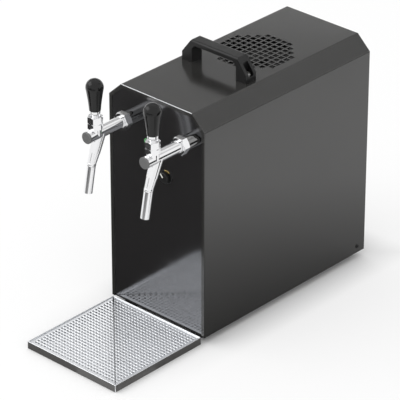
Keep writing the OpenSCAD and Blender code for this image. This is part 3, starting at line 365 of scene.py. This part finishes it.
def bump_by(finish, scale, strength, height, **pattern):
    """Tilts the surface as if small bumps of a height in metres covered it."""
    tree = finish.node_tree
    bump = tree.nodes.new("ShaderNodeBump")
    bump.inputs["Strength"].default_value = strength
    bump.inputs["Distance"].default_value = height
    tree.links.new(grain(finish, scale, **pattern), bump.inputs["Height"])
    tree.links.new(bump.outputs["Normal"], shader_of(finish).inputs["Normal"])


print("noise is spread from", noise_middle[0], "to", noise_middle[1])

# %% [markdown]
# The cabinet's powder coat is a dark warm grey with a satin gloss. It mirrors the handle softly,
# so its roughness is low and its IOR a little higher than usual. A fine ripple and a slight
# change of tone from grain to grain keep it from looking like plastic film.

# %% Cabinet paint
cabinet_paint = new_finish("cabinet_paint", (0.022, 0.0215, 0.0205), metallic=0.0, roughness=0.2,
                           sockets=[("IOR", 1.67)])
rough_by(cabinet_paint, scale=14, low=0.12, high=0.18)
color_by(cabinet_paint, scale=900, dark=(0.019, 0.0185, 0.0175), light=(0.025, 0.0245, 0.0235),
         detail=2)
bump_by(cabinet_paint, scale=420, strength=0.06, height=0.4 * mm, detail=2)
print("made", cabinet_paint.name)

# %% [markdown]
# The tray has a lighter and duller grey coat, a painted reflection of the dark surroundings that
# its steel sides would mirror. The base, the back and the compressor's shell have plain dark
# enamel. These are the same recipe with other numbers, so a few lines are enough.

# %% Other paints
# The tray's grey coat is a painted reflection of dark surroundings.
tray_paint = new_finish("tray_paint", (0.08, 0.078, 0.076), metallic=0.0, roughness=0.4)
rough_by(tray_paint, scale=30, low=0.36, high=0.48)
color_by(tray_paint, scale=800, dark=(0.075, 0.073, 0.071), light=(0.095, 0.093, 0.091), detail=2)
bump_by(tray_paint, scale=420, strength=0.06, height=0.3 * mm, detail=2)
inner_paint = new_finish("inner_paint", (0.02, 0.02, 0.02), metallic=0.0, roughness=0.5)
rough_by(inner_paint, scale=40, low=0.42, high=0.58)
bump_by(inner_paint, scale=700, strength=0.08, height=0.3 * mm)
shell_paint = new_finish("shell_paint", (0.012, 0.012, 0.012), metallic=0.0, roughness=0.3)
rough_by(shell_paint, scale=30, low=0.25, high=0.4)
bump_by(shell_paint, scale=500, strength=0.05, height=0.3 * mm)
print("paints:", sorted(finish_of_slot))

# %% [markdown]
# The front is a polished black sheet, almost a dark mirror. Its colour hardly matters: a high IOR
# gives the strong reflection, and faint wiping marks in the roughness show that it is a surface.

# %% Black front
panel_gloss = new_finish("panel_gloss", (0.017, 0.016, 0.016), metallic=0.0, roughness=0.1,
                         sockets=[("IOR", 2.4), ("Specular Tint", (0.93, 0.95, 1, 1))])
rough_by(panel_gloss, scale=9, low=0.09, high=0.14, stretch=(1, 1, 3))
print("made", panel_gloss.name)

# %% [markdown]
# The taps are chrome plate, which is nearly a perfect mirror, and their sleeves a darker plate.
# The caps on the taps are a satin grey, and screws and nuts are dull zinc or blackened steel. A
# metal's look lies mostly in its colour and its roughness, so those are what differs here.

# %% Plated metals
chrome = new_finish("chrome", (0.88, 0.88, 0.89), metallic=1.0, roughness=0.07)
rough_by(chrome, scale=60, low=0.05, high=0.1)
dark_chrome = new_finish("dark_chrome", (0.24, 0.24, 0.24), metallic=1.0, roughness=0.08)
rough_by(dark_chrome, scale=60, low=0.05, high=0.1)
grey_cap = new_finish("grey_cap", (0.175, 0.175, 0.175), metallic=0.5, roughness=0.35)
rough_by(grey_cap, scale=400, low=0.3, high=0.42)
zinc_steel = new_finish("zinc_steel", (0.55, 0.55, 0.54), metallic=1.0, roughness=0.38)
rough_by(zinc_steel, scale=120, low=0.3, high=0.46)
color_by(zinc_steel, scale=260, dark=(0.48, 0.48, 0.46), light=(0.62, 0.62, 0.62))
black_steel = new_finish("black_steel", (0.02, 0.02, 0.02), metallic=0.6, roughness=0.35)
rough_by(black_steel, scale=300, low=0.3, high=0.45)
print("finishes so far:", len(finish_of_slot))

# %% [markdown]
# Bare metals show how they were made and how they age. Stainless sheet has lines from its
# rolling, which a noise gives when it is squeezed along one axis. Copper and brass carry stains
# of a darker tone, so their colour wanders as well.

# %% Bare metals
stainless = new_finish("stainless", (0.88, 0.895, 0.92), metallic=0.75, roughness=0.28)
rough_by(stainless, scale=60, low=0.2, high=0.36, stretch=(1, 14, 1))
fin_aluminium = new_finish("fin_aluminium", (0.68, 0.69, 0.70), metallic=1.0, roughness=0.35)
rough_by(fin_aluminium, scale=150, low=0.28, high=0.45)
copper = new_finish("copper", (0.66, 0.36, 0.24), metallic=1.0, roughness=0.3)
rough_by(copper, scale=90, low=0.2, high=0.42)
color_by(copper, scale=45, dark=(0.50, 0.26, 0.17), light=(0.72, 0.42, 0.29))
brass = new_finish("brass", (0.5, 0.37, 0.14), metallic=1.0, roughness=0.3)
rough_by(brass, scale=160, low=0.24, high=0.4)
color_by(brass, scale=220, dark=(0.42, 0.3, 0.11), light=(0.58, 0.44, 0.18))
print("finishes so far:", len(finish_of_slot))

# %% [markdown]
# The handle and the dial's knob are satin mouldings, and the lever knobs are polished with a
# slight orange peel. Rubber and foam are dull. The moulded grain is too fine for a mesh, so it is
# a bump.

# %% Plastics, rubber and foam
black_plastic = new_finish("black_plastic", (0.005, 0.005, 0.005), metallic=0.0, roughness=0.35,
                           sockets=[("IOR", 1.45)])
rough_by(black_plastic, scale=120, low=0.3, high=0.42)
bump_by(black_plastic, scale=1500, strength=0.08, height=0.2 * mm, detail=1)
knob_plastic = new_finish("knob_plastic", (0.004, 0.004, 0.004), metallic=0.0, roughness=0.1,
                          sockets=[("IOR", 1.42)])
rough_by(knob_plastic, scale=80, low=0.05, high=0.14)
bump_by(knob_plastic, scale=520, strength=0.35, height=0.6 * mm, detail=1)
black_rubber = new_finish("black_rubber", (0.014, 0.014, 0.014), metallic=0.0, roughness=0.7)
rough_by(black_rubber, scale=200, low=0.6, high=0.8)
bump_by(black_rubber, scale=900, strength=0.15, height=0.3 * mm)
foam = new_finish("foam", (0.72, 0.72, 0.68), metallic=0.0, roughness=0.9)
color_by(foam, scale=500, dark=(0.62, 0.62, 0.58), light=(0.78, 0.78, 0.74))
bump_by(foam, scale=700, strength=0.4, height=0.6 * mm)
print("finishes so far:", len(finish_of_slot))

# %% [markdown]
# The pilot lamp is a small green lens with a bulb behind it. A glass shader alone would look
# black on the dark front, so the lens lets only part of the light through and glows a little.

# %% Green lens
green_lens = new_finish("green_lens", (0.06, 0.34, 0.09), metallic=0.0, roughness=0.12,
                        sockets=[("Transmission Weight", 0.35), ("Emission Strength", 0.05),
                                 ("Emission Color", (0.1, 0.8, 0.15, 1))])
rough_by(green_lens, scale=300, low=0.08, high=0.18)
print("finishes:", len(finish_of_slot), "for", len(slots), "slots")

# %% [markdown]
# The record says which finish each CAD node takes, so nobody has to pick the pieces one by one:
# a single loop dresses them all.

# %% Dress the CAD nodes
slot_of_node = {row["node"]: row["material_slot"] for row in frame["record"]["subparts"]}
for name, piece in nodes.items():
    piece.data.materials.clear()
    piece.data.materials.append(finish_of_slot[slot_of_node[name]])
print("dressed", len(slot_of_node), "nodes")

# %% [markdown]
# New pieces start from a few vertices or a basic shape and grow by Blender's own mesh operators.
# Each ends in the same way, so one helper does it: doubles are merged, faces turned outwards,
# and a second finish goes to the faces that a test picks. The Weighted Normal modifier lets the
# large faces lead the shading, so that flats look flat and thin bevels look round.

# %% Helper that finishes a piece
same_place = 0.001 * mm
sharp_from = math.radians(34)


def finish_piece(name, shape, body, slot, replaced=(), trim_slot=None, on_trim=None):
    """Cleans and shades a shape, and lets it ride on its body in place of CAD nodes."""
    bmesh.ops.remove_doubles(shape, verts=shape.verts, dist=same_place)
    bmesh.ops.recalc_face_normals(shape, faces=shape.faces)
    if trim_slot:
        for face in shape.faces:
            face.material_index = int(on_trim(face))
    data = bpy.data.meshes.new(name)
    shape.to_mesh(data)
    shape.free()
    data.polygons.foreach_set("use_smooth", [True] * len(data.polygons))
    data.set_sharp_from_angle(angle=sharp_from)
    data.materials.append(finish_of_slot[slot])
    if trim_slot:
        data.materials.append(finish_of_slot[trim_slot])
    piece = bpy.data.objects.new(name, data)
    piece.modifiers.new("even_shading", "WEIGHTED_NORMAL").keep_sharp = True
    scene.collection.objects.link(piece)
    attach(piece, body)
    if replaced:
        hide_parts(*replaced)
    print(name, "has", len(data.polygons), "faces")
    return piece


print("edges over", round(math.degrees(sharp_from)), "degrees stay sharp")

# %% [markdown]
# The hood is one steel sheet bent over the works: two walls, two slopes and a top, with a narrow
# flange turned inwards at either end. It could be a cube with its corners cut off, but a sheet
# is easier to get right as a bent line. The line is drawn here, and a second one, drawn in by the
# flange's width, keeps the corners of both on the same mitre.

# %% Hood outline
slope_w, slope_h = 27 * mm, 25 * mm
flange = 7 * mm


def hood_outline(inset, y):
    """The corners of the bent line at depth y, drawn in by an inset."""
    slope_angle = math.atan2(slope_h, slope_w)
    wall = cover_high.x - inset
    shoulder = cover_high.z - slope_h - inset * math.tan((math.pi / 2 - slope_angle) / 2)
    edge = cover_high.x - slope_w - inset * math.tan(slope_angle / 2)
    half = [(wall, cover_low.z), (wall, shoulder), (edge, cover_high.z - inset)]
    left = [Vector((-x, y, z)) for x, z in half]
    right = [Vector((x, y, z)) for x, z in half[::-1]]
    return left + right


mitre = hood_outline(flange, cover_low.y)[2] - hood_outline(0, cover_low.y)[2]
print("mitre of the flange is", round(mitre.length / mm, 2), "mm long")

# %% [markdown]
# The line becomes a sheet by extrusion: backwards along the cabinet, and inwards at both ends for
# the flanges. A press brake leaves a small radius at every bend, so all bends are bevelled.

# %% Helpers for bent sheet
def line(shape, points):
    """An open chain of edges through the points."""
    verts = [shape.verts.new(point) for point in points]
    return [shape.edges.new(pair) for pair in zip(verts, verts[1:])]


def pull(shape, edges, move):
    """Extrudes a chain of edges and moves each new vertex to where move() puts it."""
    made = bmesh.ops.extrude_edge_only(shape, edges=edges)["geom"]
    for vert in (item for item in made if isinstance(item, bmesh.types.BMVert)):
        vert.co = move(vert.co)
    return [item for item in made if isinstance(item, bmesh.types.BMEdge)
            and all(vert in made for vert in item.verts)]


def onto(start, goal):
    """Sends each point of one outline to the same point of another."""
    def move(place):
        nearest = min(range(len(start)), key=lambda k: (start[k] - place).length)
        return goal[nearest].copy()
    return move


def round_edges(shape, radius, segments, angle):
    """Bevels every edge whose faces meet at more than an angle in degrees."""
    shape.normal_update()
    sharp = [edge for edge in shape.edges
             if len(edge.link_faces) == 2 and edge.calc_face_angle() > math.radians(angle)]
    bmesh.ops.bevel(shape, geom=sharp, offset=radius, offset_type="OFFSET", segments=segments,
                    profile=0.5, affect="EDGES", clamp_overlap=True, material=-1)


print("helpers draw, pull, move and round edges")

# %% Bend the sheet
bend = 1.4 * mm
hood = bmesh.new()
front_edges = line(hood, hood_outline(0, cover_low.y))
pull(hood, front_edges, onto(hood_outline(0, cover_low.y), hood_outline(flange, cover_low.y)))
back_edges = pull(hood, front_edges, lambda place: Vector((place.x, cover_high.y, place.z)))
pull(hood, back_edges, onto(hood_outline(0, cover_high.y), hood_outline(flange, cover_high.y)))
bmesh.ops.recalc_face_normals(hood, faces=hood.faces)
if max(hood.faces, key=lambda face: face.calc_center_median().z).normal.z < 0:
    bmesh.ops.reverse_faces(hood, faces=hood.faces)
round_edges(hood, radius=bend, segments=4, angle=20)
hood.normal_update()
print("bent sheet has", len(hood.faces), "faces")

# %% [markdown]
# Warm air leaves through square holes above the fan, in a pattern whose corners are left out.
# Boolean cuts would leave long thin faces round every hole. Slicing the top along both sides of
# each row gives clean square cells instead, and the cells that are holes are deleted.

# %% Cut the vent
vent_pitch, vent_hole = 11.7 * mm, 8.6 * mm
most_steps, most_steps_both_ways = 5, 7
vent_y = cover_low.y + 235.5 * mm
on_plane = 0.0001 * mm
facing_up, top_depth = 0.99, 0.1 * mm


def on_top(face):
    height = face.calc_center_median().z
    return face.normal.z > facing_up and height > cover_high.z - top_depth


def slice_top(shape, place, direction):
    """Cuts the flat top along a plane, and nothing else."""
    parts = dict.fromkeys(part for face in filter(on_top, shape.faces)
                          for part in (face, *face.edges, *face.verts))
    bmesh.ops.bisect_plane(shape, geom=list(parts), dist=on_plane, plane_co=place,
                           plane_no=direction)
    shape.normal_update()


def in_vent_hole(face):
    middle = face.calc_center_median()
    i = round(middle.x / vent_pitch)
    j = round((middle.y - vent_y) / vent_pitch)
    off = max(abs(middle.x - i * vent_pitch), abs(middle.y - vent_y - j * vent_pitch))
    in_square = max(abs(i), abs(j)) <= most_steps
    in_corner = abs(i) + abs(j) > most_steps_both_ways
    return on_top(face) and off < vent_hole / 2 and in_square and not in_corner


for step in range(-most_steps, most_steps + 1):
    for side in (-1, 1):
        off = step * vent_pitch + side * vent_hole / 2
        slice_top(hood, (off, 0, 0), (1, 0, 0))
        slice_top(hood, (0, vent_y + off, 0), (0, 1, 0))
vent_cells = [face for face in hood.faces if in_vent_hole(face)]
print("vent has", len(vent_cells), "holes")
bmesh.ops.delete(hood, geom=vent_cells, context="FACES")

# %% [markdown]
# Last, the sheet gets its real thickness, inwards from the outer face. The bend along the top of
# the front takes bare stainless as a second finish: a painted highlight, a bright line along the
# edge.

# %% Thicken the hood
sheet = 1.2 * mm
bmesh.ops.solidify(hood, geom=hood.faces[:], thickness=sheet)
most_lean, least_lean, most_slant = -0.7, -0.1, 0.1


def painted_highlight_bend(face):
    """Faces of the top front bend: they look up and lean forward, but not sideways."""
    at_front = face.calc_center_median().y <= cover_low.y + bend
    leaning = face.normal.z > 0 and most_lean < face.normal.y < least_lean
    return at_front and leaning and abs(face.normal.x) < most_slant


# The stainless faces of the front bend are a painted highlight.
finish_piece("hood", hood, "cabinet", "cabinet_paint", ["cover"], "stainless", painted_highlight_bend)

# %% [markdown]
# The drip tray is a shallow pan folded from sheet, with bare steel at its rim, its corners and
# inside. Outside it has a grey coat, a painted reflection that stands in for the dark surroundings
# its steel sides would mirror. A sheet with a Solidify modifier would do. A block whose top is
# inset by the wall's thickness and pushed down makes both walls at once, and its edges can be
# rounded in one go.

# %% Drip tray
tray_low, tray_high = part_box("drip_tray")
tray_wall = 1.75 * mm
rim_radius, rim_depth = 0.8 * mm, 0.9 * mm
rim_facing, corner_facing, inside_facing = 0.2, 0.25, -0.5
tray = bmesh.new()
bmesh.ops.create_cube(tray, size=1)
bmesh.ops.scale(tray, vec=tray_high - tray_low, verts=tray.verts)
bmesh.ops.translate(tray, vec=(tray_low + tray_high) / 2, verts=tray.verts)
tray.normal_update()
lid = max(tray.faces, key=lambda face: face.calc_center_median().z)
bmesh.ops.inset_region(tray, faces=[lid], thickness=tray_wall, use_even_offset=True)
sunk = bmesh.ops.extrude_face_region(tray, geom=[lid])["geom"]
bmesh.ops.delete(tray, geom=[lid], context="FACES")
bmesh.ops.translate(tray, vec=(0, 0, tray_wall - (tray_high.z - tray_low.z)),
                    verts=[item for item in sunk if isinstance(item, bmesh.types.BMVert)])
round_edges(tray, radius=rim_radius, segments=3, angle=40)


def bare_steel(face):
    """Faces of the rim, of the upright corners and of the inside."""
    middle = face.calc_center_median()
    half_wall = tray_wall / 2
    inside = all(tray_low[k] + half_wall < middle[k] < tray_high[k] - half_wall for k in (0, 1))
    at_rim = middle.z > tray_high.z - rim_depth and face.normal.z > rim_facing
    at_corner = min(abs(face.normal.x), abs(face.normal.y)) > corner_facing
    return at_rim or at_corner or (inside and face.normal.z > inside_facing)


# The grey outside is a painted reflection; the bare steel at rim, corners and inside is real.
finish_piece("drip_pan", tray, "drip_tray", "tray_paint", ["drip_tray"], "stainless", bare_steel)

# %% [markdown]
# The grille is a steel sheet with 28 rows of 28 punched holes. Hundreds of Boolean cuts would be
# slow and leave poor faces. Here a grid is drawn with one cell for each hole and each web, and
# its lines are moved to their real places. The hole cells are inset and sunk a little, because a
# punch rolls the edge over, and only then deleted.

# %% Grid of the grille
grille_low, grille_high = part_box("drip_grille")
grille_mid = (grille_low + grille_high) / 2
spans = grille_high - grille_low
holes, hole_pitch, hole_side = 28, 6.65 * mm, 4.7 * mm
roll_over = 0.45 * mm
lines = 2 * holes + 1


def grid_line(k, span):
    """Where line k of the grid lies: at an end of the sheet or at a side of a hole."""
    if k in (0, lines):
        return (k / lines - 0.5) * span
    hole = (k - 1) // 2 - (holes - 1) / 2
    return hole * hole_pitch + (hole_side / 2 if k % 2 == 0 else -hole_side / 2)


def is_hole(face):
    """True where the face's middle is the middle of a hole, both ways."""
    for value in face.calc_center_median()[:2]:
        k = round(value / hole_pitch + (holes - 1) / 2)
        off = value - (k - (holes - 1) / 2) * hole_pitch
        if not 0 <= k < holes or abs(off) >= hole_side / 2:
            return False
    return True


print("each web is", round((hole_pitch - hole_side) / mm, 2), "mm wide")

# %% Perforated sheet
def perforated_sheet():
    plate = bmesh.new()
    bmesh.ops.create_grid(plate, x_segments=lines, y_segments=lines, size=lines / 2)
    for vert in plate.verts:
        i, j = (round(value + lines / 2) for value in vert.co[:2])
        vert.co = (grid_line(i, spans.x), grid_line(j, spans.y), 0)
    hole_cells = [face for face in plate.faces if is_hole(face)]
    bmesh.ops.inset_individual(plate, faces=hole_cells, thickness=roll_over, depth=-roll_over,
                               use_even_offset=True)
    print("sheet has", len(hole_cells), "holes")
    bmesh.ops.delete(plate, geom=hole_cells, context="FACES")
    return plate


# %% [markdown]
# The grille lies in two halves that meet along a diagonal, and each falls a little towards its
# far corner, so they catch the light differently. Each half is cut from a whole sheet with one
# slice. Its rim and its side of the joint are then folded down, and the sheet gets its thickness.
# The folds that face each other take the black rubber finish as painted shade, darkening the
# joint.

# %% Half of the grille
grille_sheet = 1 * mm
joint, near_joint = 2.2 * mm, 0.01 * mm
far_drop, drop_depth = 0.7 * mm, 2 * mm
across_joint = Vector((spans.y, spans.x, 0)).normalized()


def on_rim(edge):
    middle = (edge.verts[0].co + edge.verts[1].co) / 2
    return edge.is_boundary and (abs(abs(middle.x) - spans.x / 2) < same_place
                                 or abs(abs(middle.y) - spans.y / 2) < same_place)


def half_grille(side):
    plate = perforated_sheet()
    across = across_joint * side
    bmesh.ops.bisect_plane(plate, geom=plate.verts[:] + plate.edges[:] + plate.faces[:],
                           dist=on_plane, plane_co=across * joint / 2, plane_no=across,
                           clear_inner=True)
    at_joint = {vert for vert in plate.verts if abs(vert.co.dot(across) - joint / 2) < near_joint}
    joint_edges = [edge for edge in plate.edges
                   if edge.is_boundary and at_joint.issuperset(edge.verts)]
    rim = [edge for edge in plate.edges if on_rim(edge)]
    pull(plate, rim + joint_edges, lambda place: place - Vector((0, 0, spans.z)))
    bmesh.ops.recalc_face_normals(plate, faces=plate.faces)
    if sum(face.normal.z for face in plate.faces) < 0:
        bmesh.ops.reverse_faces(plate, faces=plate.faces)
    bmesh.ops.solidify(plate, geom=plate.faces[:], thickness=grille_sheet)
    far = max(vert.co.dot(across) for vert in plate.verts)
    for vert in plate.verts:
        if vert.co.z > -drop_depth:
            vert.co.z -= far_drop * vert.co.dot(across) / far
    bmesh.ops.translate(plate, vec=(grille_mid.x, grille_mid.y, grille_high.z), verts=plate.verts)
    print("half of the grille has", len(plate.faces), "faces")
    return plate


grille = half_grille(1)
other_half = half_grille(-1)
other_data = bpy.data.meshes.new("other_half")
other_half.to_mesh(other_data)
other_half.free()
grille.from_mesh(other_data)
bpy.data.meshes.remove(other_data)

# %% Finish the grille
facing_joint = 0.9


def painted_shade_joint(face):
    """Faces of the folds that look at each other across the joint, which take painted shade."""
    off = (face.calc_center_median() - grille_mid).dot(across_joint)
    return abs(off) < joint and abs(face.normal.dot(across_joint)) > facing_joint


# The black rubber on the joint's folds is painted shade that darkens the joint.
finish_piece("perforated_grille", grille, "drip_grille", "stainless", ["drip_grille"],
             "black_rubber", painted_shade_joint)

# %% [markdown]
# The lever knobs are turned on a lathe: a slim neck that widens into a round head. A sphere and a
# cone would meet in a visible ring. Half of the outline is drawn beside the axis instead, with an
# arc for the head, and spun all the way round.

# %% Lever knobs
crown = 14.6 * mm
dome_start, dome_step = -8, 7
# Radius and height of each point of the neck, in millimetres
neck_points = [(0, 0), (8.6, 0), (9.4, 0.8), (9.6, 3),
               (10.2, 10), (11.3, 19), (12.7, 28), (13.9, 35.5)]


def knob_outline(foot, height):
    neck = [(r * mm, z * mm) for r, z in neck_points]
    angles = [math.radians(degrees) for degrees in range(dome_start, 90, dome_step)]
    dome = [(crown * math.cos(a), height - crown + crown * math.sin(a)) for a in angles]
    return [foot + Vector((r, 0, z)) for r, z in neck + dome + [(0, height)]]


def spin_round(shape, edges, centre, axis, steps=48):
    """Turns a chain of edges all the way round an axis."""
    parts = dict.fromkeys(part for edge in edges for part in (edge, *edge.verts))
    bmesh.ops.spin(shape, geom=list(parts), cent=centre, axis=axis, dvec=(0, 0, 0),
                   angle=math.tau, steps=steps, use_merge=True, use_duplicate=False)


for side in ("left", "right"):
    low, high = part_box(side + "_knob")
    foot = Vector(((low.x + high.x) / 2, (low.y + high.y) / 2, low.z))
    knob = bmesh.new()
    spin_round(knob, line(knob, knob_outline(foot, high.z - low.z)), foot, (0, 0, 1))
    finish_piece(side + "_lever_knob", knob, side + "_lever", "knob_plastic", [side + "_knob"])

# %% [markdown]
# Moulded and machined pieces never end in a perfect edge. Modelling them again would be double
# work, so a copy of each such CAD solid is merged, its flat faces are joined up, and every sharp
# edge is rounded, so that the light catches it. The handle gets a moulding's radius, the nuts and
# fittings a thin chamfer.

# %% Softened edges
flat_within = math.radians(1)


def softened(node, radius):
    """A copy of a node's mesh with rounded edges."""
    copy = bmesh.new()
    copy.from_mesh(nodes[node].data)
    bmesh.ops.remove_doubles(copy, verts=copy.verts, dist=same_place)
    bmesh.ops.dissolve_limit(copy, angle_limit=flat_within, verts=copy.verts, edges=copy.edges)
    round_edges(copy, radius, segments=2, angle=30)
    return copy


soft_edges = {"carry_handle": 0.8 * mm, "power_inlet": 0.4 * mm, "thermostat_knob": 0.25 * mm}
for side in ("left_", "right_"):
    soft_edges.update({side + "coupling_nut": 0.35 * mm, side + "bonnet_nut": 0.3 * mm,
                       side + "front_cap": 0.4 * mm})
body_of_node = {node: body for body, names in frame["record"]["behaviour"]["bodies"].items()
                for node in names}
for node, radius in soft_edges.items():
    finish_piece(node + "_soft", softened(node, radius), body_of_node[node], slot_of_node[node],
                 [node])

# %% [markdown]
# The thermostat's dial is a flat ring with a short brass index at its upper right; the rest of it
# is black. Two pieces would show a gap, so one small outline is spun round the spindle, and the
# faces outside the index take the black finish.

# %% Thermostat dial
ring_low, ring_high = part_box("thermostat_bezel")
ring_mid = (ring_low + ring_high) / 2
ring_r = (ring_high.x - ring_low.x) / 2
ring_bore, ring_edge, ring_steps = 5.1 * mm, 0.4 * mm, 72
index_start, index_end = 50, 105
ring_points = [(ring_bore, ring_low.y), (ring_r - ring_edge, ring_low.y),
               (ring_r, ring_low.y + ring_edge), (ring_r, ring_high.y), (ring_bore, ring_high.y)]
ring_outline = [Vector((ring_mid.x + r, y, ring_mid.z)) for r, y in ring_points + ring_points[:1]]


def off_index(face):
    arm = face.calc_center_median() - ring_mid
    return not index_start < math.degrees(math.atan2(arm.z, arm.x)) < index_end


ring = bmesh.new()
spin_round(ring, line(ring, ring_outline), ring_mid, (0, 1, 0), ring_steps)
finish_piece("dial_ring", ring, "cabinet", "brass", ["thermostat_bezel"], "black_plastic",
             off_index)

# %% [markdown]
# A white bar is laid into the groove across the knob's face, so that the setting can be read from
# afar. Paint would need its own mask in the knob's finish; a thin block with softened edges is
# simpler. It is made upright, turned to where the groove points, and rides on the knob. The foam's
# finish is the palest in the record, so the bar borrows it.

# %% Pointer of the dial
pointer_w, pointer_t, pointer_len = 2.6 * mm, 0.9 * mm, 8 * mm
pointer_root, pointer_proud, pointer_edge = 1 * mm, 0.3 * mm, 0.15 * mm
pointer_turn = math.radians(-42)
dial_low, dial_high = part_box("thermostat_knob")
dial_mid = (dial_low + dial_high) / 2
pointer_y = dial_low.y + pointer_t / 2 - pointer_proud
pointer = bmesh.new()
bmesh.ops.create_cube(pointer, size=1)
bmesh.ops.scale(pointer, vec=(pointer_w, pointer_t, pointer_len), verts=pointer.verts)
bmesh.ops.translate(pointer, vec=(0, 0, pointer_len / 2 + pointer_root), verts=pointer.verts)
bmesh.ops.rotate(pointer, matrix=Matrix.Rotation(pointer_turn, 3, "Y"), verts=pointer.verts)
bmesh.ops.translate(pointer, vec=(dial_mid.x, pointer_y, dial_mid.z), verts=pointer.verts)
round_edges(pointer, radius=pointer_edge, segments=2, angle=40)
finish_piece("pointer_inlay", pointer, "thermostat_knob", "foam")
